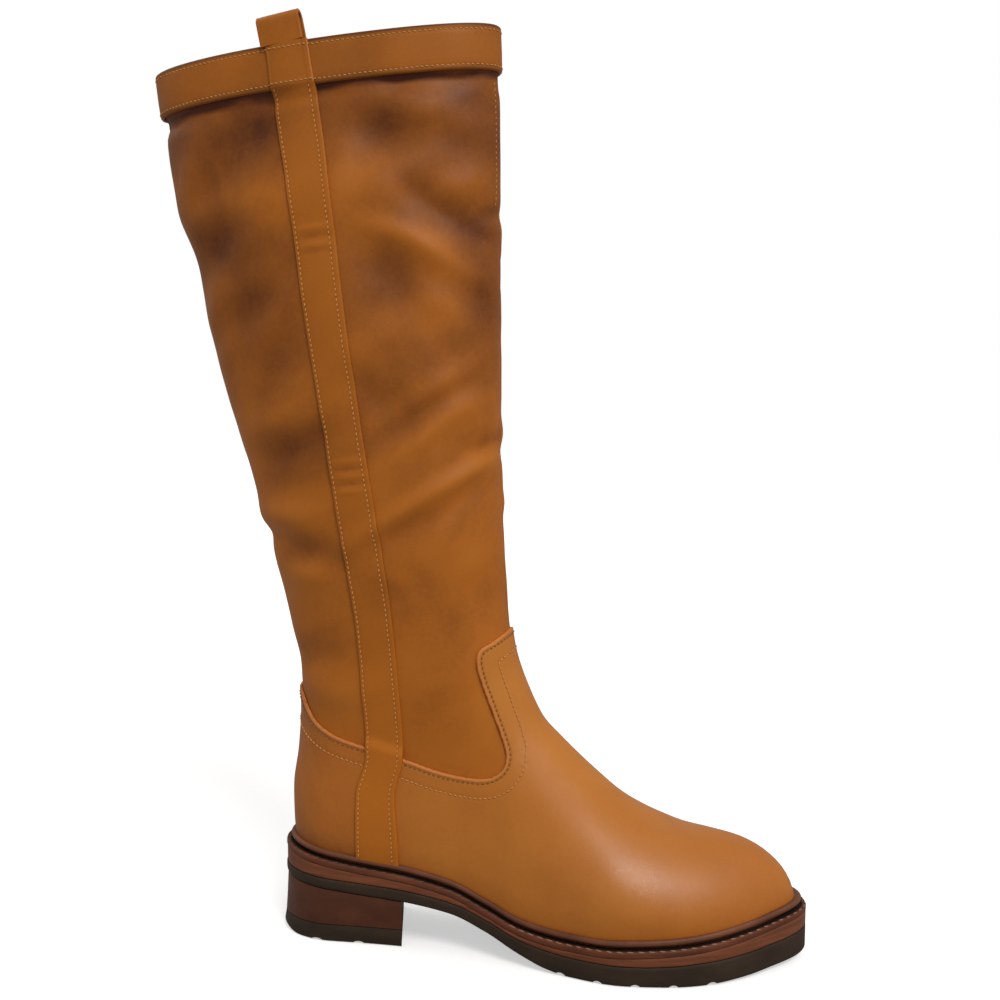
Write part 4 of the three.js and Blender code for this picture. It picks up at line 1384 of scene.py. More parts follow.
def build_side_strap():
    """The strap down the outer side, from the collar to the rand."""
    rows = np.linspace(0, 1, 330)
    share, drop = strap_section()
    middle = strap_point(mix(48, 486, rows), 0.5)
    bottom = sole_top(middle[0]) + RAND_HEIGHT + 0.2
    top = collar_height(middle[-1])
    height = mix(bottom, top, rows)[:, None] + 0 * share[None, :]
    along = strap_point(height, share[None, :])
    low = sole_top(along) + RAND_HEIGHT + 0.2
    high = collar_height(along) + 0.3
    height = mix(low, high, rows[:, None])
    along = strap_point(height, share[None, :])
    skin = Surface(along, height, LATERAL)
    small = np.zeros(height.shape)
    for h, w, d in STRAP_CREASES["rows"]:
        tilt = height - h - (along - strap_point(h, 0.5)) * 0.12
        small += d * bell(tilt, 0, w)
    across = np.sin(np.pi * clip01(share))[None, :]
    lift = strap_lift(along, height) + drop[None, :] + small * across
    outer = skin.lifted(lift)
    under = skin.lifted(strap_lift(along, height) - STRAP_DEPTH)[:, [-2, len(share) // 2, 1]]
    loops = np.concatenate([outer, under], axis=1)
    count = len(share)
    # Painted light and shade: lighter on the ridges and darker in the troughs of the shaft's creases and of
    # the strap's own cross creases. The strap is also lighter low down, darker near the top and darker on
    # its cut edges.
    tone = np.zeros(loops.shape[:2])
    tone[:, :count] = 0.5 * crease_sum(along, height, "tone") * calm(along, height)
    tone[:, :count] += 0.8 * small * across
    tone += 0.6 * (1 - step(95, 200, height[:, :1])) - 0.15 * step(380, 470, height[:, :1])
    tone[:, [0, 1, 2, count - 2, count - 1]] -= 0.55
    in_band = height[:, -1] > collar_height(along[:, -1]) - BAND_HEIGHT

    def slot(i, j):
        return 1 if in_band[i] and count - 4 <= j < count else 0

    materials, caps = [trim_leather(), cut_edge()], (0, len(loops) - 1)
    piece = loft("side_strap_leather", loops, materials, slot, caps=caps, tones=tone, angle=60)
    return piece_slot(piece, "trim_leather", "side_strap")


LOOP_WIDTH, LOOP_THICKNESS, LOOP_OPENING = 23.4, 1.6, 3.0
LOOP_RISE, LOOP_TUCK, LOOP_SEAT = 15.0, 12.0, 1.4
LOOP_BACK, LOOP_LEAN = 2.6, 0.09
LOOP_CUT_COLUMNS = (0, 1, 2, 12, 13)  # faces of the strip's two cut edges


def loop_section():
    """Cross-section of the strip: across its width, and out from its middle."""
    w, h = LOOP_WIDTH / 2, LOOP_THICKNESS / 2
    left = [(-w + 0.25, -h), (-w, -h * 0.4), (-w, h * 0.4), (-w + 0.3, h * 0.9), (-w + 0.9, h)]
    trough = [(-w + 1.8, h * 0.8), (-w + 2.6, h), (0, h), (w - 2.6, h), (w - 1.8, h * 0.8), (w - 0.9, h)]
    right = [(w - 0.3, h * 0.9), (w, h * 0.4), (w, -h * 0.4), (w - 0.25, -h)]
    return np.array(left + trough + right + [(w - 3, -h), (0, -h), (-w + 3, -h)])


def loop_path():
    """Side view of the strip's middle: up from the collar, over, and down inside."""
    reach = LOOP_OPENING + LOOP_THICKNESS / 2
    straight = LOOP_RISE - LOOP_OPENING - LOOP_THICKNESS
    path = [(reach, z) for z in np.linspace(-1.3, straight, 9)]
    for a in np.linspace(0, math.pi, 18)[1:-1]:
        path.append((reach * math.cos(a), straight + reach * math.sin(a)))
    return np.array(path + [(-reach, z) for z in np.linspace(straight, -LOOP_TUCK, 16)])


def build_pull_loop():
    """A folded leather strip: both legs meet the collar, the inner one runs down inside."""
    middle = float(strap_point(COLLAR_BACK + 10, 0.5)) - LOOP_BACK
    edge = float(collar_height(middle))
    base = Surface(np.array([middle]), np.array([edge]), LATERAL).point[0]
    path, ring = loop_path(), loop_section()
    slope = np.gradient(path, axis=0)
    slope /= np.linalg.norm(slope, axis=1, keepdims=True)
    wide, thick = ring.T[:, None]
    out = path[:, :1] + slope[:, 1:] * thick
    up = path[:, 1:] - slope[:, :1] * thick
    angle = math.atan(COLLAR_DROP) + LOOP_LEAN
    along = middle + wide * math.cos(angle) - up * math.sin(angle)
    height = edge + LOOP_SEAT + wide * math.sin(angle) + up * math.cos(angle)
    loops = np.stack([along, base[1] - WALL / 2 + out, height], -1)
    piece = loft(
        "pull_loop_leather",
        loops,
        [trim_leather(), cut_edge()],
        lambda i, j: 1 if j in LOOP_CUT_COLUMNS else 0,
        caps=(0, len(loops) - 1),
        tones=np.full(loops.shape[:2], -0.1),
    )
    return piece_slot(piece, "trim_leather", "pull_loop")


# ---------------------------------------------------------------- stitches


def capsule(length, radius, sides=6):
    """One short stitch: points along x, with its faces."""
    stations = [(-0.5, 0.0), (-0.42, 0.6), (-0.2, 0.95), (0.2, 0.95), (0.42, 0.6), (0.5, 0.0)]
    verts, faces = [(-length / 2, 0, -0.35 * radius)], []
    for x, r in stations[1:-1]:
        rise = radius * (0.55 - 1.6 * x * x)
        for k in range(sides):
            a = 2 * math.pi * k / sides
            verts.append((x * length, r * radius * math.cos(a), r * radius * math.sin(a) + rise))
    verts.append((length / 2, 0, -0.35 * radius))
    rings = len(stations) - 2
    for k in range(sides):
        n = (k + 1) % sides
        faces.append((0, 1 + n, 1 + k))
        last = 1 + (rings - 1) * sides
        faces.append((last + k, last + n, len(verts) - 1))
        for r in range(rings - 1):
            a = 1 + r * sides
            faces.append((a + k, a + n, a + sides + n, a + sides + k))
    return np.array(verts), faces


class StitchRun:
    """Collects stitches along lines on the boot and joins them into one mesh."""

    def __init__(self, pitch, length, radius, slant=7.0):
        self.pitch, self.slant = pitch, math.radians(slant)
        self.verts, self.faces = capsule(length, radius)
        self.all_verts, self.all_faces = [], []

    def along_line(self, points, normals, closed=False):
        p = np.asarray(points, float)
        if closed:
            p = np.vstack([p, p[:1]])
            normals = np.vstack([normals, normals[:1]])
        run = run_of(p)
        count = max(int(run[-1] / self.pitch), 1)
        centre = (np.arange(count) + 0.5) * run[-1] / count
        at, up = along_run(centre, run, p), along_run(centre, run, normals)
        tangent = along_run(centre + 0.6, run, p) - along_run(centre - 0.6, run, p)
        up /= np.linalg.norm(up, axis=1, keepdims=True)
        tangent -= up * np.sum(tangent * up, axis=1, keepdims=True)
        tangent /= np.linalg.norm(tangent, axis=1, keepdims=True)
        over = np.cross(up, tangent)
        c, s = math.cos(self.slant), math.sin(self.slant)
        tangent, over = tangent * c + over * s, over * c - tangent * s
        for k in range(count):
            base = len(self.all_verts) * len(self.verts)
            v = self.verts
            self.all_verts.append(at[k] + v[:, :1] * tangent[k] + v[:, 1:2] * over[k] + v[:, 2:] * up[k])
            self.all_faces += [tuple(base + i for i in f) for f in self.faces]

    def build(self, name, material, slot="thread"):
        verts = to_world(np.vstack(self.all_verts))
        piece = new_object(name, verts, self.all_faces, [material], smooth_angle=80)
        return piece_slot(piece, slot)


def line_on(along, height, side, lift):
    """Points over the upper's skin, with their outward directions."""
    skin = Surface(along, height, side)
    return skin.lifted(lift), skin.normal


def upper_run(pitch=1.0, length=1.0, radius=1.0):
    """Stitches of the upper, with their sizes as shares of the usual ones."""
    s = sizes()
    usual = (s.stitch_pitch * 1000, s.stitch_length * 1000, s.thread_radius * 1000)
    return StitchRun(usual[0] * pitch, usual[1] * length, usual[2] * radius)


def panel_stitches(panel, offset, name, kind):
    """One row along the foot panel's upper edge, which stops where the strap lies over it."""
    run = upper_run()
    where = panel.parallel(offset)
    for side in (LATERAL, MEDIAL):
        keep = np.ones(len(where), bool)
        if side == LATERAL:
            rear, fore = strap_rear(where[:, 1]), strap_fore(where[:, 1])
            keep &= (where[:, 0] < rear - 0.5) | (where[:, 0] > fore + 0.5)
        for part in split_runs(keep):
            lift = np.full(len(part), PANEL_LIFT + 0.02)
            run.along_line(*line_on(where[part, 0], where[part, 1], side, lift))
    return run.build(name, kind)


def strap_stitches():
    run = upper_run(length=0.92, radius=0.95)
    high = np.linspace(47, 484, 900)
    for share in (STRAP_REAR_INSET / STRAP_WIDTH, 1 - STRAP_FORE_INSET / STRAP_WIDTH):
        along = strap_point(high, share)
        keep = high < collar_height(along) - BAND_HEIGHT + 0.5
        keep &= high > sole_top(along) + RAND_HEIGHT + 1
        a, h = along[keep], high[keep]
        run.along_line(*line_on(a, h, LATERAL, strap_lift(a, h) - 0.08))
    return run.build("side_strap_stitches", thread())


def band_stitches():
    """Two rows round the collar band, sewn over the strap where they cross it."""
    run = upper_run()
    angles = np.linspace(0, 2 * math.pi, 900, endpoint=False)
    side = np.where(angles <= math.pi, LATERAL, MEDIAL)
    for drop in BAND_ROWS:
        along, height = band_ring(drop, angles)
        skin = Surface(along, height, side)
        on_strap = (side > 0) & (along > strap_rear(height)) & (along < strap_fore(height))
        lift = np.where(on_strap, strap_lift(along, height) + 0.05, BAND_TROUGH)
        run.along_line(skin.point + skin.normal * lift[:, None], skin.normal, closed=True)
    return run.build("collar_band_stitches", thread())


def seam_stitches():
    """A row on each side of the shaft's front seam, on its upper part only."""
    run = upper_run(pitch=1.1, length=0.8, radius=0.7)
    high = np.linspace(402, 468, 200)
    for side in (LATERAL, MEDIAL):
        skin = Surface(level_front_at(high) - 1.3, high, side)
        run.along_line(skin.lifted(-0.1), skin.normal)
    return run.build("shaft_seam_stitches", thread())


def upper_stitches():
    panel = PanelMap()
    edge_thread = thread("edge_thread", 0.4)
    return [
        panel_stitches(panel, FIRST_ROW, "foot_panel_edge_stitches", edge_thread),
        panel_stitches(panel, SECOND_ROW, "foot_panel_stitches", thread()),
        strap_stitches(),
        band_stitches(),
        seam_stitches(),
    ]


def split_runs(keep):
    """Unbroken runs of the points to keep."""
    index = np.where(keep)[0]
    return [part for part in np.split(index, np.where(np.diff(index) > 1)[0] + 1) if len(part) > 4]


# ---------------------------------------------------------------- sole


def sole_rim(inset, share):
    """A ring round the sole at an inset: share runs 0 to 2, lateral side first."""
    forward = np.where(share <= 1, share, 2 - share)
    eased = (1 - np.cos(np.pi * forward)) / 2
    along = mix(HEEL_END + inset, TOE_END - inset, eased)
    side = np.where(share <= 1, LATERAL, MEDIAL)
    tip = (forward < 1e-9) | (forward > 1 - 1e-9)
    half = np.where(tip, 0, layer_half(along, side, inset))
    return along, sole_centre(along) + side * half


def sole_hoop(name, profile, count, materials, slot_of):
    """A ring-shaped layer from a closed profile of (inset, height function)."""
    share = np.arange(2 * count) / count
    loops = []
    for inset, height in profile:
        along, across = sole_rim(inset, share)
        loops.append(np.stack([along, across, height(along)], 1))
    return loft(name, np.array(loops), materials, slot_of, closed_rows=True, angle=45)


def above(base, rise):
    """The height function base, raised by rise."""
    return lambda along: base(along) + rise


def build_rand():
    """The rolled bead on the upper's base, above a recess drawn in near-black painted shade."""
    outer, inner = LEDGE - RAND_WIDTH, LEDGE + 2.4
    middle = (RAND_LIFT + RAND_HEIGHT) / 2
    radius = (RAND_HEIGHT - RAND_LIFT) / 2
    profile = []
    for a in np.linspace(math.radians(-88), math.radians(70), 11):
        profile.append((outer + 1.5 - 1.5 * math.cos(a), above(sole_top, middle + radius * math.sin(a))))
    profile += [(LEDGE - 0.4, above(sole_top, RAND_HEIGHT)), (inner, above(sole_top, RAND_HEIGHT - 0.2))]
    profile += [(inner, above(sole_top, RAND_LIFT)), (LEDGE - 0.4, above(sole_top, RAND_LIFT))]

    # Painted shade: the bead's underside and inner faces take the near-black groove colour.
    def slot(i, j):
        return 1 if i <= 2 or i >= 12 else 0

    piece = sole_hoop("rand_bead", profile, 240, [rand_stuff(), groove_shade_stuff()], slot)
    return piece_slot(piece, "edge_leather", "rand")


# Near-black painted shade for the recess under the rand bead.
def groove_shade_stuff():
    return sole_stuff("groove", colours().groove, 0.8, 1.0, 0.2)


def build_welt():
    """The stitched ledge that runs round the whole boot."""
    top, low = above(sole_top, 0), above(sole_top, -WELT_THICKNESS)
    profile = [
        (0.15, above(low, 0.1)), (0.0, above(low, 0.5)), (0.0, above(top, -1.2)), (0.12, above(top, -0.55)),
        (0.35, above(top, -0.12)), (0.5, above(top, -0.05)), (0.62, above(top, -0.25)),
        (1.1, above(top, -0.25)), (1.25, above(top, -0.05)), (2.0, top), (2.7, top), (7.0, top),
        (WELT_WIDTH, top), (WELT_WIDTH, low), (6.0, low),
    ]

    # Painted shade: the welt's top from just inside the stitches inwards, under the rand bead, takes the
    # near-black groove colour.
    def slot(i, j):
        return 1 if 9 <= i <= 11 else 0

    piece = sole_hoop("welt_ledge", profile, 260, [welt_stuff(), groove_shade_stuff()], slot)
    return piece_slot(piece, "edge_leather", "welt")


def welt_stitches():
    """Heavy stitches of the ledge: pale round the forefoot, stained dark round the heel."""
    pitch, radius = sizes().welt_pitch * 1000, sizes().thread_radius * 1150
    share = np.linspace(0, 2, 1600, endpoint=False)
    along, across = sole_rim(0.85, share)
    points = np.stack([along, across, sole_top(along) - 0.2], 1)
    out_along, out_across = sole_rim(0.0, share)
    outward = np.stack([out_along - along, out_across - across, np.zeros(len(along))], 1)
    outward /= np.clip(np.linalg.norm(outward, axis=1, keepdims=True), 1e-6, None)
    normals = outward * 0.45 + np.array([0, 0, 0.9])
    pieces = []
    for name, keep, strength in (
        ("welt_stitches_front", along > 128, 1.0),
        ("welt_stitches_back", along <= 128, 0.4),
    ):
        run = StitchRun(pitch, pitch * 0.78, radius, slant=3.0)
        for part in split_runs(keep):
            run.along_line(points[part], normals[part])
        pieces.append(run.build(name, welt_thread(name, strength)))
    return pieces


def welt_thread(name, strength):
    """Heavy waxed thread, darker where it is stained."""
    material, nodes, shader = fresh_material(name)
    if nodes is None:
        return material
    twist = nodes.noise(nodes.place(), 700.0, 3.0)
    c = shade_of(tuple(colours().welt_thread), strength)
    tint = nodes.mix(twist, shade_of(c, 0.6), shade_of(c, 1.3))
    relief = nodes.relief(twist, 0.4, THREAD_RELIEF)
    nodes.feed(shader, {"Base Color": tint, "Roughness": 0.7, "Normal": relief})
    return material


def sole_stations(count, marks=()):
    """Places along the sole, closer together at its ends, with the marks among them."""
    even = mix(HEEL_END, TOE_END, (1 - np.cos(np.pi * np.arange(count + 1) / count)) / 2)
    return np.unique(np.round(np.concatenate([even, marks]), 2))


def plate(name, stations, columns, materials, first_inset=0.0):
    """A solid layer: columns are (side, inset, share of the half width kept, height function)."""
    loops = []
    insets = sorted({inset for _, inset, keep, _ in columns if keep is None}, reverse=True)
    for side, inset, keep, height in columns:
        outer = layer_half(stations, side, first_inset)
        if keep is None:
            least = 0.06 + 0.02 * insets.index(inset)
            half = np.maximum(layer_half(stations, side, inset), outer * least)
        else:
            half = outer * keep
        across = sole_centre(stations) + side * half
        loops.append(np.stack([stations, across, height(stations)], 1))
    return loft(name, np.stack(loops, 1), materials, angle=40)


def both_sides(outer_columns):
    """Columns of one side, down its edge, repeated in reverse on the other side."""
    lateral = [(LATERAL, i, k, h) for i, k, h in outer_columns]
    medial = [(MEDIAL, i, k, h) for i, k, h in reversed(outer_columns)]
    return lateral + medial


def build_midsole():
    """The brown covered layer between welt and rubber."""
    top, low = above(sole_top, -WELT_THICKNESS - GAP), above(rubber_top, GAP)
    columns = [
        (0.0, 0.05, above(sole_top, -0.4)), (WELT_WIDTH + 0.6, None, above(sole_top, -0.4)),
        (WELT_WIDTH + 0.6, None, top), (3.0, None, top), (0.75, None, above(top, -0.05)),
        (0.45, None, above(top, -0.4)), (0.38, None, above(top, -1.4)), (0.45, None, above(low, 1.2)),
        (0.42, None, above(low, 0.5)), (0.8, None, low), (8.0, None, low), (0.0, 0.05, low),
    ]
    piece = plate("midsole_cover", sole_stations(240), both_sides(columns), [cover_stuff()])
    return piece_slot(piece, "sole_cover", "midsole")


LUG_PITCH, LUG_GROOVE, LUG_DEPTH, LUG_LENGTH = 19.5, 4.6, 1.5, 22.0
LUG_PLACES = [158 + LUG_PITCH * k for k in range(5)]
BAR_PLACES, BAR_GROOVE = [150, 170, 190, 210, 230, 250], 6.0
TREAD_START = 120


def arch(along, places=LUG_PLACES, width=LUG_GROOVE):
    """1 at the middle of each groove, rounding off to 0 at its sides."""
    away = np.min([np.abs(np.asarray(along, float) - at) for at in places], axis=0)
    return np.sqrt(np.clip(1 - (2 * away / width) ** 2, 0, None))


def arch_marks(places, width):
    """Stations that each groove needs for its round section."""
    across = (-1, -0.93, -0.75, -0.4, 0, 0.4, 0.75, 0.93, 1)
    return [at + width / 2 * e for at in places for e in across]


def tread(depth, everywhere=False):
    """Height of the rubber's lower face where it is cut by the side grooves, or cut everywhere."""

    def height(along):
        cut = np.ones(np.shape(along)) if everywhere else arch(along)
        return underside(along) + depth * cut * (along > TREAD_START)

    return height


def build_outsole():
    """Rubber outsole with edge lugs, a channel inside them and centre bars."""
    marks = arch_marks(LUG_PLACES, LUG_GROOVE) + arch_marks(BAR_PLACES, BAR_GROOVE)
    lug = tread(LUG_DEPTH)
    channel = tread(LUG_DEPTH, everywhere=True)

    def centre(along):
        grooves = LUG_DEPTH * arch(along, BAR_PLACES, BAR_GROOVE)
        return underside(along) + grooves * (along > TREAD_START)

    def edge(rise):
        return lambda along: np.maximum(lug(along), underside(along) + rise)

    columns = [
        (0.0, 0.05, rubber_top), (2.0, None, rubber_top), (0.35, None, rubber_top),
        (0.05, None, above(rubber_top, -0.35)), (0.0, None, above(rubber_top, -1.5)),
        (0.0, None, edge(2.2)), (0.15, None, edge(0.9)), (0.6, None, edge(0.25)), (1.4, None, edge(0.0)),
        (LUG_LENGTH - 4.5, None, lug), (LUG_LENGTH - 4.4, None, channel), (LUG_LENGTH, None, channel),
        (LUG_LENGTH + 0.1, None, centre), (0.0, 0.05, centre),
    ]
    stations = sole_stations(250, marks)
    piece = plate("outsole_rubber", stations, both_sides(columns), [rubber_stuff()])
    return piece_slot(piece, "tread_rubber", "outsole")


def build_insole():
    """The foot bed inside, a little lower in the middle."""
    inset = UPPER_INSET + WALL + 0.9
    low, top = above(sole_top, BASE_GAP), above(sole_top, BASE_GAP + INSOLE_THICKNESS)
    columns = [
        (0.0, 0.05, above(top, -0.5)), (inset + 14, None, above(top, -0.45)),
        (inset + 5, None, above(top, -0.15)), (inset + 1.2, None, top),
        (inset + 0.4, None, above(top, -0.3)), (inset, None, above(top, -1.0)),
        (inset, None, above(low, 0.6)), (inset + 0.5, None, low), (0.0, 0.05, low),
    ]
    stations = sole_stations(160)
    stations = stations[(stations > HEEL_END + inset - 1) & (stations < TOE_END - inset + 1)]
    stations = np.concatenate([[HEEL_END + inset], stations, [TOE_END - inset]])
    stations = np.unique(np.clip(stations, HEEL_END + inset, TOE_END - inset))
    piece = plate("insole_sock", stations, both_sides(columns), [lining()], first_inset=inset)
    return piece_slot(piece, "lining", "insole")


BREAST, BREAST_SKEW, HEEL_REACH = 69.0, 12.0, 29.0
HEEL_TAPER, HEEL_DRAW, HEEL_FLARE = 0.8, 2.4, 4.6
LIFT_THICKNESS, BACK_BEVEL, BEVEL_RUN = 9.3, 3.2, 15.0
NOTCHES, NOTCH_WIDTH, NOTCH_DEPTH, NOTCH_END = (20.0, 44.0), 6.0, 1.3, 14


def heel_outline(turn, side, inset, flare):
    """Heel outline by turn, 0 at the back and a right angle ahead of the front face."""
    along = mix(HEEL_END, BREAST + 14, 1 - np.cos(turn))
    half = layer_half(along, side, 0) - inset * np.sin(turn)
    half = np.where(turn < 1e-9, 0, half)
    return along + (inset - flare) * np.cos(turn), sole_centre(along) + side * half


def heel_edge(side, inset, flare, shares):
    """Outline points from the back to the front face, which runs a little aslant."""
    turn = np.linspace(0, math.pi / 2, 3000)
    along, across = heel_outline(turn, side, inset, flare)
    limit = BREAST - BREAST_SKEW / (2 * HEEL_REACH) * (HEEL_REACH - across)
    last = turn[np.argmax(along > limit)]
    return np.stack(heel_outline(shares * last, side, inset, flare), 1)


def heel_rows(levels, shares, fractions, bottom=None):
    """Loops round the heel's cross-section at every station from back to front."""
    outer = {side: [heel_edge(side, i, f, shares) for _, i, f in levels] for side in (LATERAL, MEDIAL)}
    loops = []
    for k in range(len(shares)):
        loop = []
        for n, (height, _, _) in enumerate(levels):
            a, c = outer[LATERAL][n][k]
            loop.append([a, c, height(a)])
        left, right = outer[LATERAL][-1][k], outer[MEDIAL][-1][k]
        for f in fractions:
            a, c = mix(left, right, f)
            loop.append([a, c, levels[-1][0](a)])
        for n in range(len(levels) - 1, -1, -1):
            a, c = outer[MEDIAL][n][k]
            loop.append([a, c, levels[n][0](a)])
        left, right = outer[LATERAL][0][k], outer[MEDIAL][0][k]
        for f in fractions[::-1]:
            a, c = mix(left, right, f)
            z = levels[0][0](a) if bottom is None else bottom(a, c)
            loop.append([a, c, z])
        loops.append(loop)
    return np.array(loops)


def notch_rise(along):
    """How far the notches cut up into the lift."""
    return NOTCH_DEPTH * arch(np.atleast_1d(along), NOTCHES, NOTCH_WIDTH)


def back_rise(along):
    """How far the lift's underside is bevelled up at the back."""
    return BACK_BEVEL * np.clip(1 - (np.atleast_1d(along) - HEEL_END + 3) / BEVEL_RUN, 0, 1) ** 1.5


def heel_shares(count, marks):
    """Even shares, with more of them through the heel's notches."""
    even = np.linspace(0, 1, count)
    fine = np.linspace(0, 1, 4000)
    along = heel_edge(LATERAL, HEEL_TAPER + HEEL_DRAW, HEEL_FLARE, fine)[:, 0]
    at = [np.interp(m, along, fine) for m in marks]
    return np.unique(np.concatenate([even, at]))


def lift_floor(rise):
    """Height of the lift's lower edge: bevelled at the back, and cut by the notches."""
    return lambda a: float(np.maximum(back_rise(a) + rise, notch_rise(a))[0])


def level_at(height):
    """The same height everywhere."""
    return lambda a: height


def below_sole(drop):
    """Height that follows the sole's underside at a drop below it."""
    return lambda a: float(underside(a)) - GAP - drop


def lift_bottom(along, across):
    """Height inside the lift's lower edge: the notches end short of the middle."""
    rise = back_rise(along)[0]
    off = abs(across - float(sole_centre(along)))
    return float(max(rise, notch_rise(along)[0])) if off > NOTCH_END else float(rise)


def heel_body(name, rows, material):
    return loft(name, rows, [material], caps=(0, len(rows) - 1), angle=40)


def build_heel_lift():
    """The dark top lift under the heel block. Its levels run from the floor up."""
    inset, flare = HEEL_TAPER + HEEL_DRAW, HEEL_FLARE * 0.8
    top = LIFT_THICKNESS
    levels = [
        (lift_floor(0.0), inset + 1.0, HEEL_FLARE - 0.9), (lift_floor(0.3), inset + 0.3, HEEL_FLARE - 0.2),
        (lift_floor(0.9), inset, HEEL_FLARE), (level_at(top - 4.0), inset, HEEL_FLARE * 0.92),
        (level_at(top - 0.45), inset, flare), (level_at(top - 0.12), inset + 0.15, flare - 0.15),
        (level_at(top), inset + 0.5, flare - 0.5),
    ]
    shares = heel_shares(90, arch_marks(NOTCHES, NOTCH_WIDTH))
    fractions = [0.14, 0.24, 0.245, 0.5, 0.755, 0.76, 0.86]
    rows = heel_rows(levels, shares, fractions, lift_bottom)
    return piece_slot(heel_body("heel_lift_rubber", rows, rubber_stuff()), "tread_rubber", "heel_lift")


def build_heel_block():
    """The covered block between the top lift and the sole. Its levels run up from the lift."""
    inset, flare = HEEL_TAPER + HEEL_DRAW, HEEL_FLARE * 0.8
    base = LIFT_THICKNESS + GAP
    levels = [
        (level_at(base), inset + 0.45, flare - 0.4), (level_at(base + 0.1), inset + 0.1, flare),
        (level_at(base + 0.5), inset, flare), (level_at(base + 4.5), HEEL_TAPER + 1.8, HEEL_FLARE * 0.6),
        (level_at(base + 9), HEEL_TAPER + 1.2, HEEL_FLARE * 0.4),
        (below_sole(5.0), HEEL_TAPER + 0.5, HEEL_FLARE * 0.16), (below_sole(0.5), HEEL_TAPER, 0.0),
        (below_sole(0.1), HEEL_TAPER + 0.15, -0.15), (below_sole(0.0), HEEL_TAPER + 0.5, -0.5),
    ]
    rows = heel_rows(levels, np.linspace(0, 1, 90), [0.1, 0.3, 0.5, 0.7, 0.9])
    return piece_slot(heel_body("heel_block_cover", rows, heel_stuff()), "sole_cover", "heel_block")


# ---------------------------------------------------------------- stage


def soft_sun(name, place, spread, power, tint):
    """A broad, even light shining from a place towards the boot."""
    lamp = bpy.data.lights.new(name, "SUN")
    lamp.energy, lamp.color, lamp.angle = power, tint, math.radians(spread)
    holder = bpy.data.objects.new(name, lamp)
    holder.location = place
    holder.rotation_euler = (-Vector(place)).to_track_quat("-Z", "Y").to_euler()
    bpy.context.scene.collection.objects.link(holder)


def build_floor():
    """A wide pale sheet of paper, bright to the camera and dull to the boot."""
    size, steps = 6.0, 24
    axis = np.linspace(-size, size, steps + 1)
    x, y = np.meshgrid(axis, axis, indexing="ij")
    verts = np.stack([x, y, np.full(x.shape, -0.0002)], -1).reshape(-1, 3)
    faces = grid_faces(steps + 1, steps + 1, closed_columns=False).tolist()
    mesh = bpy.data.meshes.new("studio_floor")
    mesh.from_pydata(verts.tolist(), [], faces)
    material, nodes, shader = fresh_material("floor_paper")
    if nodes:
        c = tuple(colours().floor)
        paper = nodes.noise(nodes.place(), 90.0, 4.0)
        tint = nodes.mix(paper, shade_of(c, 0.985), shade_of(c, 1.0))
        seen = nodes.add("ShaderNodeLightPath").outputs["Is Camera Ray"]
        finish = {
            "Base Color": nodes.mix(seen, shade_of(c, 0.4), tint),
            "Roughness": 0.85,
            "Specular IOR Level": 0.2,
            "Emission Color": (1, 1, 1, 1),
            "Emission Strength": nodes.math("MULTIPLY", seen, 0.5),
        }
        nodes.feed(shader, finish)
    mesh.materials.append(material)
    floor = bpy.data.objects.new("studio_floor", mesh)
    bpy.context.scene.collection.objects.link(floor)


CAMERA_PLACE = (-0.682, -0.186, 0.299)
CAMERA_YAW, CAMERA_PITCH, CAMERA_ROLL = math.radians(8.6), math.radians(4.5), math.radians(0.5)
CAMERA_LENS = 45.5


def build_camera():
    """The camera at its place, turned by yaw, tipped by pitch and rolled."""
    ahead = Vector(
        (
            math.cos(CAMERA_YAW) * math.cos(CAMERA_PITCH),
            math.sin(CAMERA_YAW) * math.cos(CAMERA_PITCH),
            -math.sin(CAMERA_PITCH),
        )
    )
    right = Vector((math.sin(CAMERA_YAW), -math.cos(CAMERA_YAW), 0))
    up = right.cross(ahead)
    turned_right = right * math.cos(CAMERA_ROLL) + up * math.sin(CAMERA_ROLL)
    turned_up = turned_right.cross(ahead)
    matrix = Matrix((turned_right, turned_up, -ahead)).transposed().to_4x4()
    matrix.translation = CAMERA_PLACE
    data = bpy.data.cameras.new("camera")
    data.lens, data.sensor_width, data.clip_start = CAMERA_LENS, 36.0, 0.01
    camera = bpy.data.objects.new("camera", data)
    camera.matrix_world = matrix
    bpy.context.scene.collection.objects.link(camera)
    bpy.context.scene.camera = camera


def build_world():
    """Soft light from all round, which the camera sees as plain white."""
    world = bpy.data.worlds.new("studio")
    world.use_nodes = True
    tree = world.node_tree
    tree.nodes.clear()
    nodes = Nodes(tree)
    path = nodes.add("ShaderNodeLightPath")
    seen = nodes.add("ShaderNodeBackground", {"Color": (1, 1, 1, 1), "Strength": 1.0})
    lit = nodes.add("ShaderNodeBackground", {"Color": (1.0, 0.97, 0.93, 1), "Strength": sizes().fill_light})
    both = nodes.add("ShaderNodeMixShader", {0: path.outputs["Is Camera Ray"]})
    tree.links.new(lit.outputs[0], both.inputs[1])
    tree.links.new(seen.outputs[0], both.inputs[2])
    nodes.add("ShaderNodeOutputWorld", {"Surface": both.outputs[0]})
    bpy.context.scene.world = world
    bpy.context.scene.view_settings.view_transform = "Standard"
    bpy.context.scene.view_settings.look = "None"


# ---------------------------------------------------------------- settings, operators, panel


def length(name, description, default):
    return FloatProperty(name=name, description=description, default=default, unit="LENGTH", precision=4)


def colour(name, description, default):
    return FloatVectorProperty(
        name=name, description=description, default=linear(default), size=4, subtype="COLOR", min=0, max=1
    )


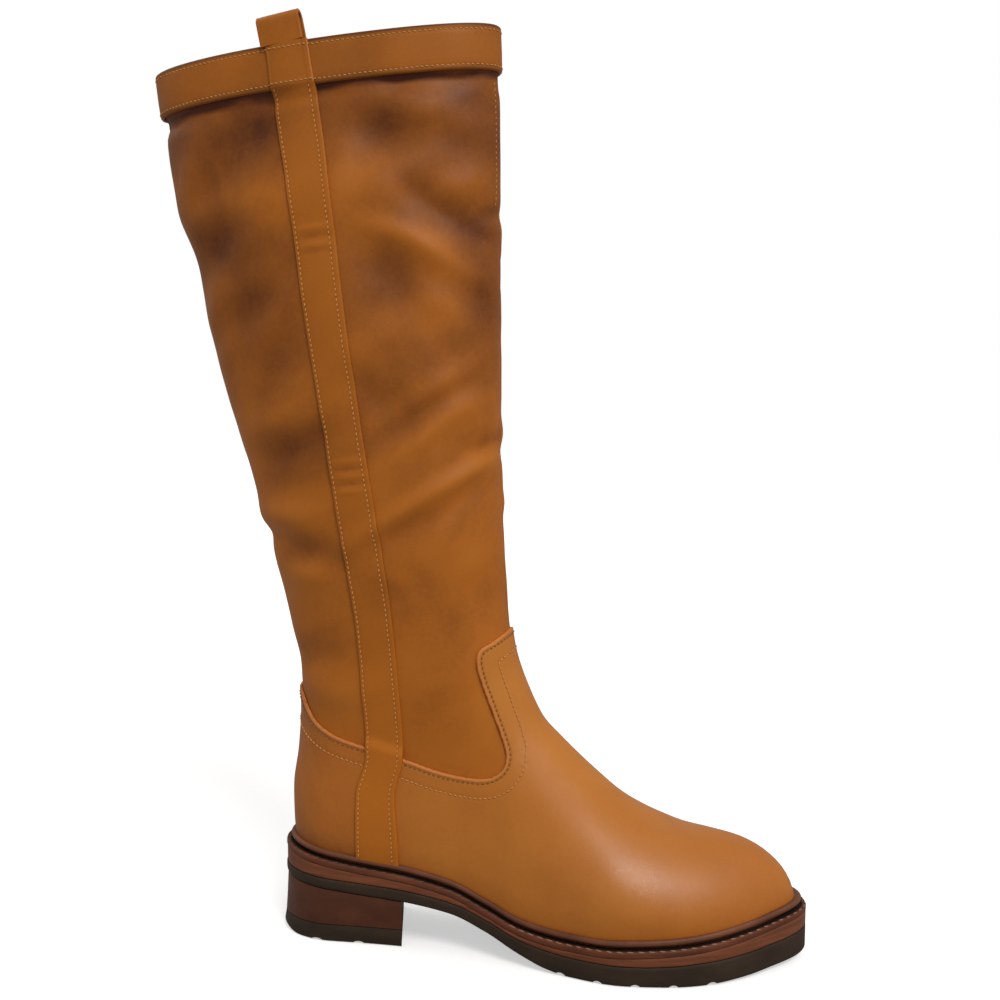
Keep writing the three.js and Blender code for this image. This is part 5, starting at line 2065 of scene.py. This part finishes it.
class BootSizes(bpy.types.PropertyGroup):
    """Sizes a maker would change without redrawing the boot."""

    stitch_pitch: length("Stitch pitch", "Distance from one stitch to the next on the upper", 0.0027)
    stitch_length: length("Stitch length", "Length of thread that shows in one stitch", 0.00195)
    thread_radius: length("Thread radius", "Half the thickness of the sewing thread", 0.00038)
    welt_pitch: length("Welt stitch pitch", "Distance from one welt stitch to the next", 0.0054)
    crease_strength: FloatProperty(
        name="Crease strength",
        description="How deep the shaft's slack creases are",
        default=1.2,
        min=0,
        max=2,
    )
    fill_light: FloatProperty(
        name="Fill light", description="Brightness of the light from all round", default=0.4, min=0, max=3
    )


class BootColours(bpy.types.PropertyGroup):
    """Colours of leather, thread and sole."""

    leather: colour("Leather", "Main dye of the leather", (190, 109, 28))
    # Painted light and shade: besides the leather's own lighter and darker patches, the light dye paints
    # light on crease ridges and the dark dye paints shade in creases, under the band and along the foot's
    # base.
    leather_light: colour("Leather, light", "Where the dye is rubbed thin", (212, 132, 44))
    leather_dark: colour("Leather, dark", "In creases and along the base", (88, 38, 12))
    trim: colour("Trim", "Band, strap and loop", (184, 105, 24))
    cut_edge: colour("Cut edge", "Raw edge of the leather", (208, 126, 60))
    thread: colour("Thread", "Sewing thread of the upper", (228, 164, 92))
    welt_thread: colour("Welt thread", "Heavy thread of the welt", (158, 118, 94))
    # Painted shade, not dirt: the near-black of the recess under the rand bead and of the welt's top below
    # it.
    groove: colour("Groove", "Dirt in the groove under the rand", (30, 18, 12))
    rand: colour("Rand", "Rolled bead above the welt", (116, 70, 48))
    welt: colour("Welt", "Stitched ledge", (108, 58, 35))
    sole: colour("Sole cover", "Midsole and heel block", (124, 70, 43))
    heel: colour("Heel cover", "Painted heel block", (92, 50, 31))
    rubber: colour("Rubber", "Outsole and top lift", (56, 42, 30))
    lining: colour("Lining", "Inside of the shaft and insole", (176, 126, 82))
    floor: colour("Floor", "Paper the boot stands on", (246, 246, 246))
    # Painted shade and light: how strongly the creases are drawn darker in their troughs and lighter on
    # their ridges.
    crease_light_and_shade: FloatProperty(
        name="Crease tone", description="How much the dye darkens in creases", default=0.55, min=0, max=2
    )


class BootOperator:
    """What every operator here does: build its pieces, and raise an error if there are none."""

    bl_options = {"REGISTER", "UNDO"}

    def execute(self, context):
        made = self.build()
        if made is not None and not made:
            raise RuntimeError(f"{self.bl_label} made nothing")
        return {"FINISHED"}


class BOOT_OT_shaft(BootOperator, bpy.types.Operator):
    """Build the hollow shaft with its creases and lining"""

    bl_idname = "boot.shaft"
    bl_label = "Shaft"

    def build(self):
        return build_shaft()


class BOOT_OT_foot_panel(BootOperator, bpy.types.Operator):
    """Build the foot panel with its raised cut edge"""

    bl_idname = "boot.foot_panel"
    bl_label = "Foot panel"

    def build(self):
        return build_foot_panel()


class BOOT_OT_collar_band(BootOperator, bpy.types.Operator):
    """Build the folded band round the collar"""

    bl_idname = "boot.collar_band"
    bl_label = "Collar band"

    def build(self):
        return build_collar_band()


class BOOT_OT_side_strap(BootOperator, bpy.types.Operator):
    """Build the strap down the outer side"""

    bl_idname = "boot.side_strap"
    bl_label = "Side strap"

    def build(self):
        return build_side_strap()


class BOOT_OT_pull_loop(BootOperator, bpy.types.Operator):
    """Build the pull loop at the collar"""

    bl_idname = "boot.pull_loop"
    bl_label = "Pull loop"

    def build(self):
        return build_pull_loop()


class BOOT_OT_upper_stitches(BootOperator, bpy.types.Operator):
    """Sew the stitch rows of the upper"""

    bl_idname = "boot.upper_stitches"
    bl_label = "Upper stitches"

    def build(self):
        return upper_stitches()


class BOOT_OT_rand_and_welt(BootOperator, bpy.types.Operator):
    """Build the rand bead, the welt and its heavy stitches"""

    bl_idname = "boot.rand_and_welt"
    bl_label = "Rand and welt"

    def build(self):
        return [build_rand(), build_welt(), *welt_stitches()]


class BOOT_OT_sole(BootOperator, bpy.types.Operator):
    """Build the insole, the covered midsole and the rubber outsole"""

    bl_idname = "boot.sole"
    bl_label = "Sole"

    def build(self):
        return [build_insole(), build_midsole(), build_outsole()]


class BOOT_OT_heel(BootOperator, bpy.types.Operator):
    """Build the heel block and its top lift"""

    bl_idname = "boot.heel"
    bl_label = "Heel"

    def build(self):
        return [build_heel_lift(), build_heel_block()]


class BOOT_OT_stage(BootOperator, bpy.types.Operator):
    """Set up the floor, the lights and the camera"""

    bl_idname = "boot.stage"
    bl_label = "Stage"

    def build(self):
        build_floor()
        build_camera()
        build_world()
        soft_sun("key", (-1.4, -0.9, 1.85), 19.0, 1.1, (1.0, 0.98, 0.96))
        soft_sun("front", (-0.7, -1.8, 1.4), 70.0, 0.36, (1.0, 0.98, 0.97))
        soft_sun("rim", (0.5, 1.5, 1.6), 40.0, 0.4, (0.95, 0.97, 1.0))


OPERATORS = (
    BOOT_OT_shaft,
    BOOT_OT_foot_panel,
    BOOT_OT_collar_band,
    BOOT_OT_side_strap,
    BOOT_OT_pull_loop,
    BOOT_OT_upper_stitches,
    BOOT_OT_rand_and_welt,
    BOOT_OT_sole,
    BOOT_OT_heel,
    BOOT_OT_stage,
)


class BOOT_PT_build(bpy.types.Panel):
    """Lists the boot's pieces and its settings"""

    bl_idname = "BOOT_PT_build"
    bl_label = "Knee-high boot"
    bl_space_type = "VIEW_3D"
    bl_region_type = "UI"
    bl_category = "Boot"

    def draw(self, context):
        for operator in OPERATORS:
            self.layout.operator(operator.bl_idname)
        for group in (context.scene.boot_sizes, context.scene.boot_colours):
            for name in group.bl_rna.properties.keys():
                if name not in ("rna_type", "name"):
                    self.layout.prop(group, name)


CLASSES = (BootSizes, BootColours, *OPERATORS, BOOT_PT_build)


def register():
    for entry in CLASSES:
        bpy.utils.register_class(entry)
    bpy.types.Scene.boot_sizes = PointerProperty(type=BootSizes)
    bpy.types.Scene.boot_colours = PointerProperty(type=BootColours)


def unregister():
    del bpy.types.Scene.boot_sizes
    del bpy.types.Scene.boot_colours
    for entry in reversed(CLASSES):
        bpy.utils.unregister_class(entry)


def main():
    register()
    bpy.ops.boot.shaft()
    bpy.ops.boot.foot_panel()
    bpy.ops.boot.collar_band()
    bpy.ops.boot.side_strap()
    bpy.ops.boot.pull_loop()
    bpy.ops.boot.upper_stitches()
    bpy.ops.boot.rand_and_welt()
    bpy.ops.boot.sole()
    bpy.ops.boot.heel()
    bpy.ops.boot.stage()


if __name__ == "__main__":
    main()
